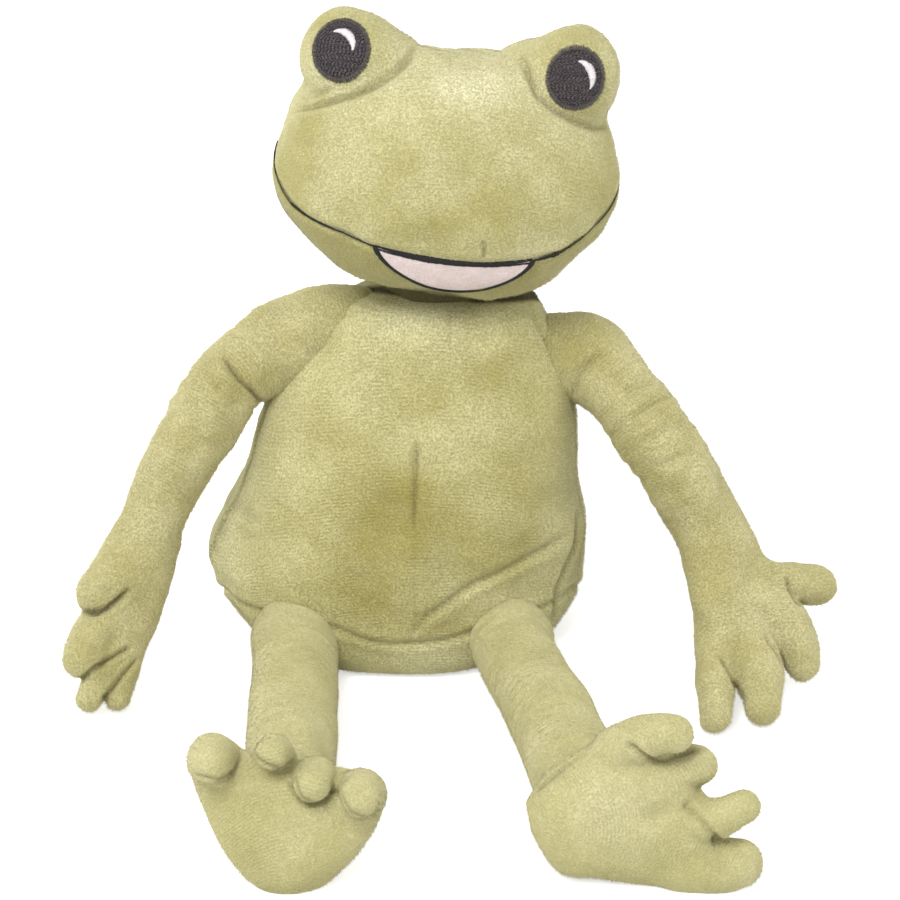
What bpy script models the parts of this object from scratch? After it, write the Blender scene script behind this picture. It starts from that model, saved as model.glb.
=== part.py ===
"""A seated plush frog, built as the sewn toy is: cloth panels round stuffing, and limbs on stuffed roots.

Metres, +Z up, front -Y. The origin is on the floor under the middle of the seat.
Sides are the frog's own: its right is at -X, which is on the left when it is seen from the front.
"""

import math

import bmesh
import bpy
from mathutils import Matrix, Vector
from mathutils.bvhtree import BVHTree

# Cloth, seams and clearances, and where a limb's rim lies round the ball of its joint
RIM_DEG = 58
CLOTH = 0.0012
GAP = 0.0003
FLOOR_PRESS = 0.0005
OVERRUN = 0.004

# Body
BODY_HEIGHT = 0.139
BODY_WIDTH = 0.150
BODY_DEPTH = 0.104
BODY_SWAY = 0.018
BODY_SETBACK = 0.009
BASE_SEAM_HEIGHT = 0.0155
BEAN_POUCH_HEIGHT = 0.046

# Head
HEAD_WIDTH = 0.1285
HEAD_HEIGHT = 0.0955
HEAD_DEPTH = 0.082
HEAD_PITCH_DEG = 14
HEAD_ROLL_DEG = 4.6
NECK_RADIUS = 0.0155
NECK_RISE = 0.0045

# Eyes and mouth
DOME_RADIUS = 0.0180
DOME_SPACING = 0.0845
DOME_HEIGHT = 0.0395
DOME_OFFSET = 0.0012
DOME_SHIFT = 0.0025
EYE_RADIUS = 0.0122
EYE_THICKNESS = 0.0010
GLINT_WIDTH = 0.0024
GLINT_THICKNESS = 0.0006
MOUTH_DROP = 0.0145
MOUTH_THICKNESS = 0.0007
LINE_RADIUS = 0.0008

# Arms
SHOULDER_RADIUS = 0.0140
SHOULDER_STAND = 0.0055
SHOULDER_AHEAD = 0.005
ARM_ROOT_LENGTH = 0.0148
UPPER_ARM_LENGTH = 0.034
FOREARM_LENGTH = 0.0525
ARM_WIDTH = 0.028
ARM_THICKNESS = 0.023
ELBOW_RADIUS = 0.0115
HAND_LENGTH = 0.071
PALM_WIDTH = 0.042
PALM_THICKNESS = 0.0165
FINGER_RADIUS = 0.0072

# Legs and feet
HIP_RADIUS = 0.0150
HIP_STAND = 0.0040
HIP_SPACING = 0.084
LEG_LENGTH = 0.1165
LEG_WIDTH = 0.033
ANKLE_RADIUS = 0.0130
FOOT_LENGTH = 0.055
FOOT_WIDTH = 0.070
FOOT_THICKNESS = 0.026
ANKLE_SEAT = 0.0170
TOE_RADIUS = 0.0086
TOE_LENGTH = 0.0215

# Numbers of points round each form
BODY_SEGMENTS = 22
HEAD_SEGMENTS = 22
LIMB_SEGMENTS = 12
SMALL_SEGMENTS = 8
SOCKET_SEGMENTS = 20

# Outlines as shares of the sizes above. A body row is height, width, depth, sway and setback.
body_shares = (
    (0.0, 0.63, 0.74, 0.0, 0.0),
    (0.02, 0.80, 0.89, 0.0, 0.0),
    (0.11, 0.935, 0.97, -0.10, 0.0),
    (0.27, 1.0, 1.0, -0.20, 0.05),
    (0.45, 0.97, 0.95, -0.12, 0.20),
    (0.62, 0.88, 0.85, 0.06, 0.45),
    (0.76, 0.77, 0.74, 0.30, 0.68),
    (0.87, 0.64, 0.64, 0.55, 0.84),
    (0.95, 0.47, 0.52, 0.75, 0.95),
    (0.985, 0.30, 0.38, 0.82, 1.0),
    (1.0, 0.19, 0.27, 0.84, 1.0),
)
# A head row is height, half width, and depth in front and behind.
head_shares = (
    (0.0, 0.0, 0.0, 0.0),
    (0.02, 0.15, 0.20, 0.16),
    (0.09, 0.32, 0.37, 0.33),
    (0.19, 0.405, 0.455, 0.40),
    (0.32, 0.475, 0.515, 0.45),
    (0.47, 0.5, 0.525, 0.475),
    (0.62, 0.49, 0.50, 0.475),
    (0.75, 0.455, 0.45, 0.45),
    (0.87, 0.39, 0.37, 0.385),
    (0.95, 0.29, 0.26, 0.28),
    (0.99, 0.16, 0.14, 0.15),
    (1.0, 0.0, 0.0, 0.0),
)
# A sole row is length, half width and half thickness.
foot_shares = (
    (0.0, 0.0, 0.0),
    (0.03, 0.16, 0.28),
    (0.12, 0.24, 0.45),
    (0.30, 0.32, 0.50),
    (0.50, 0.39, 0.50),
    (0.70, 0.44, 0.46),
    (0.86, 0.44, 0.38),
    (0.96, 0.37, 0.26),
    (1.0, 0.0, 0.0),
)
PAD_START_share = 0.47
palm_shares = (
    (0.0, 0.26, 0.50),
    (0.12, 0.33, 0.52),
    (0.35, 0.50, 0.50),
    (0.58, 0.52, 0.47),
    (0.72, 0.42, 0.40),
    (0.78, 0.0, 0.0),
)
ARM_HEIGHT_shares = {"right": 0.822, "left": 0.805}
HIP_HEIGHT_share = 0.115
BODY_SQUARENESS = 2.25
DOME_AHEAD_share = -0.17
HEAD_SQUARENESS = 2.2
SIDE_SEAM_share = -0.10
HEAD_SEAM_share = 0.08
MOUTH_SLOPE = 0.80
MOUTH_TURN_DEG = 3
MOUTH_WIDTH_DEG = 84
SMILE_DEG = 90

# Directions at rest, each as (x, y, z) of any length
arm_directions = {
    "right": {
        "root": (-0.92, -0.36, 0.14),
        "upper": (-0.57, -0.50, -0.65),
        "forearm": (-0.40, -0.10, -0.91),
        "hand": (-0.27, -0.75, -0.60),
        "thumb": (-0.725, -0.253, 0.64),
    },
    "left": {
        "root": (0.92, -0.34, 0.18),
        "upper": (0.53, -0.58, -0.61),
        "forearm": (0.45, -0.12, -0.89),
        "hand": (0.24, -0.745, -0.62),
        "thumb": (0.84, 0.48, -0.25),
    },
}
leg_directions = {
    "right": {"leg": (0.015, -1.0, 0.038), "toes": (-0.10, 0.29, 0.95), "inner": (1.0, 0.0, 0.10)},
    "left": {"leg": (0.19, -1.0, 0.049), "toes": (0.97, 0.0, 0.21), "inner": (-0.20, 0.20, 0.95)},
}
# Finger tips as shares of the hand's length, along it and across it towards the thumb
finger_tip_shares = {
    "right": ((0.41, 0.19), (0.83, 0.12), (1.0, 0.015), (0.92, -0.13)),
    "left": ((0.27, 0.56), (0.69, 0.37), (1.0, -0.10), (0.96, -0.31)),
}
finger_root_shares = {
    "right": ((0.22, 0.05), (0.43, 0.06), (0.45, 0.012), (0.42, -0.065)),
    "left": ((0.30, 0.14), (0.44, 0.12), (0.52, -0.02), (0.50, -0.13)),
}
# Toe roots as shares of the foot's length and width from the ankle, inner toe first
toe_root_shares = ((0.22, 0.31), (0.27, 0.12), (0.36, -0.07), (0.30, -0.28))
toe_spread_degs = (11, 4, -4, -14)
toe_curl_degs = {"right": 72, "left": 10}
toe_size_shares = (1.0, 0.82, 0.82, 1.0)
# How far the foot sits along its own length, and to its inner side, from where the leg meets it
foot_shift_shares = {"right": (0.0, 0.07), "left": (0.16, 0.0)}

# Colours in sRGB, read by eye from the toy
PLUSH = (0.77, 0.74, 0.54)
PLUSH_BELLY = (0.72, 0.69, 0.46)
PLUSH_SHADE = (0.68, 0.65, 0.43)
EYE_THREAD = (0.20, 0.17, 0.16)
MOUTH_CLOTH = (0.88, 0.80, 0.78)
LINE_THREAD = (0.09, 0.08, 0.08)
GLINT_THREAD = (0.90, 0.88, 0.86)
STUFFING = (0.93, 0.93, 0.90)
BEANS = (0.85, 0.83, 0.78)

SIDES = {"right": -1, "left": 1}


def clear_scene():
    for item in list(bpy.data.objects):
        bpy.data.objects.remove(item, do_unlink=True)


def collection(name):
    made = bpy.data.collections.new(name)
    bpy.context.scene.collection.children.link(made)
    return made


def linear(value):
    return value / 12.92 if value <= 0.04045 else ((value + 0.055) / 1.055) ** 2.4


def material(name, colour, roughness=0.9):
    made = bpy.data.materials.get(name) or bpy.data.materials.new(name)
    made.use_nodes = True
    shader = made.node_tree.nodes["Principled BSDF"]
    shader.inputs["Base Color"].default_value = (*[linear(c) for c in colour], 1)
    shader.inputs["Roughness"].default_value = roughness
    shader.inputs["Metallic"].default_value = 0
    return made


def read_rows(rows, share):
    """The row of a table at this share of its first column, on a smooth curve through its rows."""
    last = len(rows) - 1
    i = max(k for k in range(last) if rows[k][0] <= share or k == 0)
    a, b = rows[i], rows[i + 1]
    step = b[0] - a[0]
    t = min(1.0, max(0.0, (share - a[0]) / step))

    def slope(k, column):
        before, after = rows[max(k - 1, 0)], rows[min(k + 1, last)]
        return (after[column] - before[column]) / (after[0] - before[0])

    values = []
    for column in range(1, len(a)):
        rise = b[column] - a[column]
        m0, m1 = slope(i, column) * step, slope(i + 1, column) * step
        if abs(rise) < 1e-9:
            m0 = m1 = 0
        elif max(abs(m0), abs(m1)) > 3 * abs(rise):
            m0, m1 = (max(-3 * abs(rise), min(3 * abs(rise), m)) for m in (m0, m1))
        square, cube = t * t, t * t * t
        values.append(
            a[column] + rise * (3 * square - 2 * cube)
            + m0 * (cube - 2 * square + t) + m1 * (cube - square)
        )
    return values


def even_shares(count, start=0.0, end=1.0):
    """Shares from start to end, closer together near both ends."""
    return [start + (end - start) * (1 - math.cos(math.pi * k / count)) / 2 for k in range(count + 1)]


def turned(direction):
    return Vector(direction).normalized()


def section(centre, right, ahead, half_width, front, back, segments, squareness=2.0):
    """Points round a section whose front and back may differ in depth."""
    power = 2 / squareness
    points = []
    for k in range(segments):
        angle = 2 * math.pi * (k + 0.5) / segments
        c, s = math.cos(angle), math.sin(angle)
        across = half_width * math.copysign(abs(c) ** power, c)
        along = (back if s > 0 else front) * math.copysign(abs(s) ** power, s)
        points.append(centre + right * across + ahead * along)
    return points


def lofted(name, rings, group, look=None):
    """A closed mesh over rings of points. A ring of one point is a pole, and any other end is a flat cap."""
    mesh = bmesh.new()
    rows = [[mesh.verts.new(p) for p in ring] for ring in rings]
    for low, high in zip(rows, rows[1:]):
        count = max(len(low), len(high))
        for k in range(count):
            n = (k + 1) % count
            if len(low) == 1:
                mesh.faces.new((low[0], high[n], high[k]))
            elif len(high) == 1:
                mesh.faces.new((low[k], low[n], high[0]))
            else:
                mesh.faces.new((low[k], low[n], high[n], high[k]))
    for ends in (rows[0], rows[-1]):
        if len(ends) > 1:
            mesh.faces.new(ends)
    bmesh.ops.recalc_face_normals(mesh, faces=mesh.faces)
    if mesh.calc_volume(signed=True) < 0:
        bmesh.ops.reverse_faces(mesh, faces=mesh.faces)
    data = bpy.data.meshes.new(name)
    mesh.to_mesh(data)
    mesh.free()
    return placed(name, data, group, look)


def placed(name, data, group, look=None):
    made = bpy.data.objects.new(name, data)
    group.objects.link(made)
    if look:
        data.materials.append(look)
        data.shade_smooth()
    else:
        made.hide_render = True
        made.display_type = "WIRE"
    return made


def ball(name, centre, radius, group, look=None, segments=18, rings=9, axis=(0, 0, 1)):
    mesh = bmesh.new()
    bmesh.ops.create_uvsphere(mesh, u_segments=segments, v_segments=rings, radius=radius)
    data = bpy.data.meshes.new(name)
    mesh.to_mesh(data)
    mesh.free()
    turn = turned(axis).to_track_quat("Z", "Y").to_matrix().to_4x4()
    data.transform(Matrix.Translation(centre) @ turn)
    return placed(name, data, group, look)


def socket_for(name, centre, radius, group, axis=(0, 0, 1)):
    """A ball whose flats lie the clearance outside the ball that turns in it."""
    flats = math.cos(math.pi / SOCKET_SEGMENTS) ** 2
    return ball(name, centre, (radius + GAP) / flats, group, None, SOCKET_SEGMENTS, SOCKET_SEGMENTS // 2,
                axis)


def half_space(name, point, normal, group, reach):
    """A box that fills the space on one side of a plane, half a seam's clearance from it."""
    mesh = bmesh.new()
    bmesh.ops.create_cube(mesh, size=1)
    data = bpy.data.meshes.new(name)
    mesh.to_mesh(data)
    mesh.free()
    normal = turned(normal)
    turn = normal.to_track_quat("Z", "Y").to_matrix().to_4x4()
    centre = Vector(point) + normal * (reach / 2 + GAP / 2)
    data.transform(Matrix.Translation(centre) @ turn @ Matrix.Scale(reach, 4))
    return placed(name, data, group)


def boolean(item, other, operation):
    step = item.modifiers.new(f"{operation.lower()}_{other.name}"[:60], "BOOLEAN")
    step.operation = operation
    step.solver = "EXACT"
    step.object = other


def cut(item, *others):
    for other in others:
        boolean(item, other, "DIFFERENCE")


def keep(item, *others):
    for other in others:
        boolean(item, other, "INTERSECT")


def join(item, *others):
    for other in others:
        boolean(item, other, "UNION")


def axis_empty(name, point, group):
    made = bpy.data.objects.new(name, None)
    made.empty_display_size = GAP
    made.location = point
    group.objects.link(made)
    bpy.context.view_layer.update()
    return made


def hang(items, carrier):
    """Parents items to a joint's empty where they are."""
    for item in items:
        item.parent = carrier
        item.matrix_parent_inverse = carrier.matrix_world.inverted()


# Body

def body_centre(share):
    height, width, depth, sway, setback = (share, *read_rows(body_shares, share))
    return Vector((sway * BODY_SWAY, setback * BODY_SETBACK, height * BODY_HEIGHT))


def body_rings(inset=0.0, count=12):
    rings = []
    for share in even_shares(count):
        width, depth, sway, setback = read_rows(body_shares, share)
        centre = body_centre(share)
        centre.z = inset + share * (BODY_HEIGHT - 2 * inset)
        half_width, half_depth = width * BODY_WIDTH / 2 - inset, depth * BODY_DEPTH / 2 - inset
        rings.append(section(centre, Vector((1, 0, 0)), Vector((0, 1, 0)), half_width, half_depth,
                             half_depth, BODY_SEGMENTS, BODY_SQUARENESS))
    return rings


def body_side(share, side):
    """The point on the body's side at this share of its height."""
    width = read_rows(body_shares, share)[0]
    return body_centre(share) + Vector((side * width * BODY_WIDTH / 2, 0, 0))


def body_front_depth(share, x):
    """How far in front of its centre line the body's surface is at this x."""
    width, depth = read_rows(body_shares, share)[:2]
    across = abs(x - body_centre(share).x) / (width * BODY_WIDTH / 2)
    return depth * BODY_DEPTH / 2 * (1 - across ** BODY_SQUARENESS) ** (1 / BODY_SQUARENESS)


def neck_pivot():
    return body_centre(1.0) + Vector((0, 0, NECK_RISE))


def shoulder(side):
    share = ARM_HEIGHT_shares["left" if side > 0 else "right"]
    slope = body_side(share + 0.03, side) - body_side(share - 0.03, side)
    out = Vector((side * slope.z, 0, -side * slope.x)).normalized()
    return body_side(share, side) + out * SHOULDER_STAND - Vector((0, SHOULDER_AHEAD, 0))


def hip(side):
    centre = body_centre(HIP_HEIGHT_share)
    x = centre.x + side * HIP_SPACING / 2
    front = centre.y - body_front_depth(HIP_HEIGHT_share, x)
    return Vector((x, front - HIP_STAND, 0.96 * LEG_WIDTH / 2 - FLOOR_PRESS))


def make_body(parts, cutters, looks):
    reach = 2 * BODY_WIDTH
    inside = lofted("body_inside", body_rings(CLOTH), cutters)
    seam = Vector((0, 0, BASE_SEAM_HEIGHT))
    side_seam = body_centre(0.5) + Vector((0, SIDE_SEAM_share * BODY_DEPTH, 0))
    lean = body_centre(0.9) - body_centre(0.3)
    middle = body_centre(0.3)
    across = Vector((lean.z, 0, -lean.x))
    above = half_space("above_base_seam", seam, (0, 0, 1), cutters, reach)
    below = half_space("below_base_seam", seam, (0, 0, -1), cutters, reach)
    front = half_space("before_side_seam", side_seam, (0, -1, 0), cutters, reach)
    behind = half_space("behind_side_seam", side_seam, (0, 1, 0), cutters, reach)
    to_left = half_space("left_of_back_seam", middle, across, cutters, reach)
    to_right = half_space("right_of_back_seam", middle, -across, cutters, reach)
    sockets = [socket_for("neck_socket", neck_pivot(), NECK_RADIUS, cutters)]
    for name, side in SIDES.items():
        sockets.append(socket_for(f"shoulder_socket_{name}", shoulder(side), SHOULDER_RADIUS, cutters))
        sockets.append(socket_for(f"hip_socket_{name}", hip(side), HIP_RADIUS, cutters, (0, -1, 0)))
    bounds = {
        "base_panel": (below,),
        "belly_panel": (above, front),
        "back_panel_left": (above, behind, to_left),
        "back_panel_right": (above, behind, to_right),
    }
    for name, limits in bounds.items():
        panel = lofted(name, body_rings(), parts, looks["belly" if name == "belly_panel" else "plush"])
        cut(panel, inside)
        keep(panel, *limits)
        cut(panel, *sockets)
    pouch_top = Vector((0, 0, BEAN_POUCH_HEIGHT))
    over = half_space("above_bean_pouch", pouch_top, (0, 0, 1), cutters, reach)
    under = half_space("below_bean_pouch", pouch_top, (0, 0, -1), cutters, reach)
    for name, limit, look in (("body_stuffing", over, "stuffing"), ("bean_pouch", under, "beans")):
        filling = lofted(name, body_rings(CLOTH + GAP), parts, looks[look])
        keep(filling, limit)
        cut(filling, *sockets)


# Head

def head_matrix():
    """From the head's own frame, centred in it and facing -Y, to the toy's frame."""
    turn = Matrix.Rotation(math.radians(HEAD_ROLL_DEG), 4, "Y") @ Matrix.Rotation(
        math.radians(-HEAD_PITCH_DEG), 4, "X")
    return Matrix.Translation(neck_pivot()) @ turn @ Matrix.Translation(-head_neck_point())


def head_neck_point():
    """Where the neck's pivot lies in the head's own frame."""
    return Vector((0.03 * HEAD_WIDTH, 0.22 * HEAD_DEPTH, -0.443 * HEAD_HEIGHT))


def head_section(share, inset):
    width, front, back = read_rows(head_shares, share)
    return [max(0.0, value - inset) for value in
            (width * HEAD_WIDTH, front * HEAD_DEPTH, back * HEAD_DEPTH)]


def head_rings(inset=0.0, count=12):
    rings = []
    for share in even_shares(count):
        width, front, back = head_section(share, inset)
        centre = Vector((0, 0, (share - 0.5) * (HEAD_HEIGHT - 2 * inset)))
        if share in (0.0, 1.0):
            rings.append([centre])
        else:
            rings.append(section(centre, Vector((1, 0, 0)), Vector((0, 1, 0)), width, front, back,
                                 HEAD_SEGMENTS, HEAD_SQUARENESS))
    return rings


def head_tree():
    """The head's own facets, so that what is sewn on it can follow them."""
    rings = head_rings()
    points = [p for ring in rings for p in ring]
    faces, start = [], 0
    for low, high in zip(rings, rings[1:]):
        first, second = start, start + len(low)
        for k in range(HEAD_SEGMENTS):
            n = (k + 1) % HEAD_SEGMENTS
            if len(low) == 1:
                faces.append((first, second + n, second + k))
            elif len(high) == 1:
                faces.append((first + k, first + n, second))
            else:
                faces.append((first + k, first + n, second + n, second + k))
        start = second
    return BVHTree.FromPolygons(points, faces)


def out_of_head(tree, start, way, lift):
    """Where a line out of the head leaves its cloth, lifted off it, or None below the head."""
    point, normal, face, distance = tree.ray_cast(start, way)
    if point is None:
        return None
    if normal.dot(way) < 0:
        normal = -normal
    return point + normal * lift


def on_smile(tree, turn, lift):
    """The point of the smile's seam this far round the head from its front, lifted off the cloth."""
    way = Vector((math.sin(turn), -math.cos(turn), 0))
    low, high = -0.42 * HEAD_HEIGHT, 0.2 * HEAD_HEIGHT
    for step in range(30):
        z = (low + high) / 2
        if z < MOUTH_SLOPE * out_of_head(tree, Vector((0, 0, z)), way, 0).y:
            low = z
        else:
            high = z
    return out_of_head(tree, Vector((0, 0, (low + high) / 2)), way, lift)


def tube_along(name, points, radius, parts, look, sides=5):
    """A thread of constant thickness through points, with pointed ends."""
    rings = []
    for k, point in enumerate(points):
        ahead = (points[min(k + 1, len(points) - 1)] - points[max(k - 1, 0)]).normalized()
        right = ahead.cross(Vector((0, 0, 1))).normalized()
        rings.append(section(point, right, ahead.cross(right), radius, radius, radius, sides))
    first = points[0] + (points[0] - points[1]).normalized() * radius
    last = points[-1] + (points[-1] - points[-2]).normalized() * radius
    return lofted(name, [[first], *rings, [last]], parts, look)


def make_head(parts, cutters, looks):
    reach = 2 * HEAD_WIDTH
    place = head_matrix()
    inside = lofted("head_inside", head_rings(CLOTH), cutters)
    seam = Vector((0, HEAD_SEAM_share * HEAD_DEPTH, 0))
    mouth_normal = Vector((0, -MOUTH_SLOPE, 1))
    tools = {
        "face": half_space("above_mouth", (0, 0, 0), mouth_normal, cutters, reach),
        "chin": half_space("below_mouth", (0, 0, 0), -mouth_normal, cutters, reach),
        "front": half_space("before_head_seam", seam, (0, -1, 0), cutters, reach),
        "behind": half_space("behind_head_seam", seam, (0, 1, 0), cutters, reach),
        "left": half_space("left_of_head_seam", (0, 0, 0), (1, 0, 0), cutters, reach),
        "right": half_space("right_of_head_seam", (0, 0, 0), (-1, 0, 0), cutters, reach),
    }
    socket = socket_for("head_neck_socket", head_neck_point(), NECK_RADIUS, cutters)
    panels = {
        "face_panel": ("front", "face"),
        "chin_panel": ("front", "chin"),
        "head_back_panel_left": ("behind", "left"),
        "head_back_panel_right": ("behind", "right"),
    }
    made = []
    for name, limits in panels.items():
        panel = lofted(name, head_rings(), parts, looks["plush"])
        cut(panel, inside)
        keep(panel, *[tools[limit] for limit in limits])
        cut(panel, socket)
        made.append(panel)
    filling = lofted("head_stuffing", head_rings(CLOTH + GAP), parts, looks["stuffing"])
    cut(filling, socket)
    made.append(filling)
    made += make_eyes(parts, cutters, looks, inside)
    made += make_mouth(parts, cutters, looks)
    for item in [*made, inside, socket, *tools.values()]:
        item.matrix_world = place
    hang(made, axis_empty("neck_nod_axis", neck_pivot(), parts))


def eye_axis():
    return turned((-0.06, -1.0, 0.20))


def dome_centre(side):
    height = DOME_HEIGHT - side * DOME_OFFSET
    return Vector((DOME_SHIFT + side * DOME_SPACING / 2, DOME_AHEAD_share * HEAD_DEPTH, height))


def cap_rings(centre, axis, low, high, radius, count=3):
    """A disc that hugs a ball: rings out along its under side and back over its top."""
    right = axis.cross(Vector((0, 0, 1))).normalized()
    up = right.cross(axis).normalized()
    rings = []
    for size, order in ((low, range(count + 1)), (high, range(count, -1, -1))):
        for k in order:
            angle = math.asin(radius / low) * k / count
            point = centre + axis * size * math.cos(angle)
            if k == 0:
                rings.append([point])
            else:
                reach = size * math.sin(angle)
                rings.append(section(point, right, up, reach, reach, reach, 18))
    return rings


def make_eyes(parts, cutters, looks, inside):
    """The eye domes sit on the head's cloth, with a stitched disc and a white crescent on each."""
    outside = lofted("head_outside", head_rings(-GAP), cutters)
    outside.matrix_world = head_matrix()
    axis = eye_axis()
    right = axis.cross(Vector((0, 0, 1))).normalized()
    up = right.cross(axis).normalized()
    made = []
    for name, side in SIDES.items():
        centre = dome_centre(side)
        dome = ball(f"eye_dome_{name}", centre, DOME_RADIUS, parts, looks["plush"], 20, 10, axis)
        cut(dome, outside)
        low = DOME_RADIUS + GAP
        disc = lofted(f"eye_disc_{name}", cap_rings(centre, axis, low, low + EYE_THICKNESS, EYE_RADIUS),
                      parts, looks["eye"])
        top = low + EYE_THICKNESS + GAP
        rings = []
        for k in range(9):
            turn = math.radians(-30 + 110 * k / 8)
            lift = 0.62 * EYE_RADIUS
            middle = right * -math.cos(turn) * lift + up * math.sin(turn) * lift
            half = GLINT_WIDTH / 2 * max(0.2, math.sin(math.pi * k / 8))
            out = middle.normalized()
            ring = []
            for across, height in ((-half, 0), (half, 0), (half, GLINT_THICKNESS), (-half, GLINT_THICKNESS)):
                flat = middle + out * across
                rise = math.sqrt((top + height) ** 2 - flat.length_squared)
                ring.append(centre + flat + axis * rise)
            rings.append(ring)
        glint = lofted(f"eye_glint_{name}", rings, parts, looks["glint"])
        made += [dome, disc, glint]
    return made


def make_mouth(parts, cutters, looks):
    """The smile's thread runs along the seam of face and chin, over a pale patch with its own lower thread."""
    tree = head_tree()
    stand = LINE_RADIUS + 2 * GAP
    points = [on_smile(tree, math.radians(SMILE_DEG * (k / 14 - 1)), stand) for k in range(29)]
    smile = tube_along("smile_thread", points, LINE_RADIUS, parts, looks["line"])
    middle = MOUTH_TURN_DEG
    half = MOUTH_WIDTH_DEG / 2
    margin = LINE_RADIUS + 2 * GAP

    def below(share, drop, lift):
        """A point on the chin's cloth, this far below the smile's seam."""
        top = on_smile(tree, math.radians(middle + share * half), 0)
        start = Vector((top.x, 0, top.z - drop))
        return out_of_head(tree, start, Vector((0, -1, 0)), lift)

    def drop_at(share):
        return MOUTH_DROP * (1 - share * share) ** 0.6

    lip_points = []
    for k in range(15):
        share = 0.975 * math.sin(math.pi / 2 * (k / 7 - 1))
        lip_points.append(below(share, drop_at(share), stand))
    lip = tube_along("lip_thread", lip_points, LINE_RADIUS, parts, looks["line"])
    rows = []
    for k in range(1, 14):
        share = 0.80 * math.sin(math.pi / 2 * (k / 7 - 1))
        top, bottom = 2 * margin, drop_at(share) - 2 * margin
        ring = []
        for lift, heights in ((GAP, (0, 0.33, 0.67, 1)), (GAP + MOUTH_THICKNESS, (1, 0.67, 0.33, 0))):
            for height in heights:
                ring.append(below(share, top + (bottom - top) * height, lift + GAP))
        rows.append(ring)
    patch = lofted("mouth_patch", rows, parts, looks["mouth"])
    return [smile, lip, patch]


def make_neck(parts, looks):
    neck = ball("neck_stub", neck_pivot(), NECK_RADIUS, parts, looks["shade"], 18, 9)
    hang([neck], axis_empty("neck_turn_axis", neck_pivot(), parts))


# Arms

def arm_places(name):
    """The arm's pivots and directions, from the shoulder out."""
    side = SIDES[name]
    ways = {key: turned(value) for key, value in arm_directions[name].items()}
    start = shoulder(side)
    bend = start + ways["root"] * ARM_ROOT_LENGTH
    elbow = bend + ways["upper"] * UPPER_ARM_LENGTH
    wrist = elbow + ways["forearm"] * FOREARM_LENGTH
    across = (ways["thumb"] - ways["hand"] * ways["thumb"].dot(ways["hand"])).normalized()
    return start, bend, elbow, wrist, ways, across


def limb_rings(points, sizes, flat, segments=LIMB_SEGMENTS, inset=0.0, early=0.0):
    """Sections along a limb, started this much early. flat is the direction that its broad side lies in."""
    rings = []
    last = len(points) - 1
    growth = early / (points[1] - points[0]).length
    for k, (point, (half_width, half_thick)) in enumerate(zip(points, sizes)):
        ahead = (points[min(k + 1, last)] - points[max(k - 1, 0)]).normalized()
        broad = (flat - ahead * flat.dot(ahead)).normalized()
        thin = ahead.cross(broad)
        if k == 0:
            point = point - ahead * early
            half_width += (half_width - sizes[1][0]) * growth
            half_thick += (half_thick - sizes[1][1]) * growth
        width, thick = max(half_width - inset, GAP), max(half_thick - inset, GAP)
        rings.append(section(point, broad, thin, width, thick, thick, segments))
    return rings


def bent(a, b, c, share):
    """A point on the curve from a to c that heads for b."""
    return a * (1 - share) ** 2 + b * 2 * share * (1 - share) + c * share ** 2


def ball_end(centre, ahead, radius, inset, flat, segments, turns=(15, 35, 55, 75)):
    """The rings and pole of a round end in front of centre, starting at its widest."""
    reach = radius - inset
    broad = (flat - ahead * flat.dot(ahead)).normalized()
    thin = ahead.cross(broad)
    rings = []
    for turn in turns:
        angle = math.radians(turn)
        size = reach * math.cos(angle)
        rings.append(section(centre + ahead * reach * math.sin(angle), broad, thin, size, size, size,
                             segments))
    return [*rings, [centre + ahead * reach]]


def upper_arm_rings(name, inset=0.0, early=0.0):
    """From the rim round the shoulder's ball to the round elbow end."""
    start, bend, elbow, wrist, ways, across = arm_places(name)
    ahead = (elbow - bend).normalized()
    rim = start + ways["root"] * SHOULDER_RADIUS * math.cos(math.radians(RIM_DEG))
    points, sizes = [], []
    flat = Vector((0, -0.5, 1)).normalized()
    for k in range(7):
        share = k / 6
        points.append(bent(rim, bend, elbow, share))
        swell = math.sin(math.pi * min(1.0, share * 1.3)) ** 0.8 if share < 0.76 else 0
        width = SHOULDER_RADIUS * (1 - share) + ELBOW_RADIUS * share
        full = max(ARM_WIDTH / 2 - width, 0) * max(swell, 0)
        sizes.append((width + full, width + full * 0.3))
    sizes[-1] = (ELBOW_RADIUS, ELBOW_RADIUS)
    rings = limb_rings(points, sizes, flat, inset=inset, early=early)
    broad_flat = (flat - ahead * flat.dot(ahead)).normalized()
    return rings + ball_end(elbow, ahead, ELBOW_RADIUS, inset, broad_flat, LIMB_SEGMENTS)


def forearm_rings(name, inset=0.0, early=0.0, closed=True):
    """From the rim round the elbow's ball into the palm."""
    start, bend, elbow, wrist, ways, across = arm_places(name)
    rim = elbow + ways["forearm"] * ELBOW_RADIUS * math.cos(math.radians(RIM_DEG))
    palm = wrist + ways["hand"] * HAND_LENGTH * 0.22
    points, sizes = [], []
    for k in range(7):
        share = k / 6
        points.append(bent(rim, wrist - ways["hand"] * HAND_LENGTH * 0.05, palm, share))
        thick = ARM_THICKNESS / 2 * (0.90 - 0.20 * share)
        wide = ARM_WIDTH / 2 * (0.92 - 0.20 * math.sin(math.pi * share * 0.8))
        sizes.append((wide, thick) if k else (ELBOW_RADIUS * 1.02, ELBOW_RADIUS))
    points[-1] = points[-1] - ways["hand"] * inset
    rings = limb_rings(points, sizes, across, inset=inset, early=early)
    tip = points[-1] + ways["hand"] * GAP
    return rings + ([[tip]] if closed else [])


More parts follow.
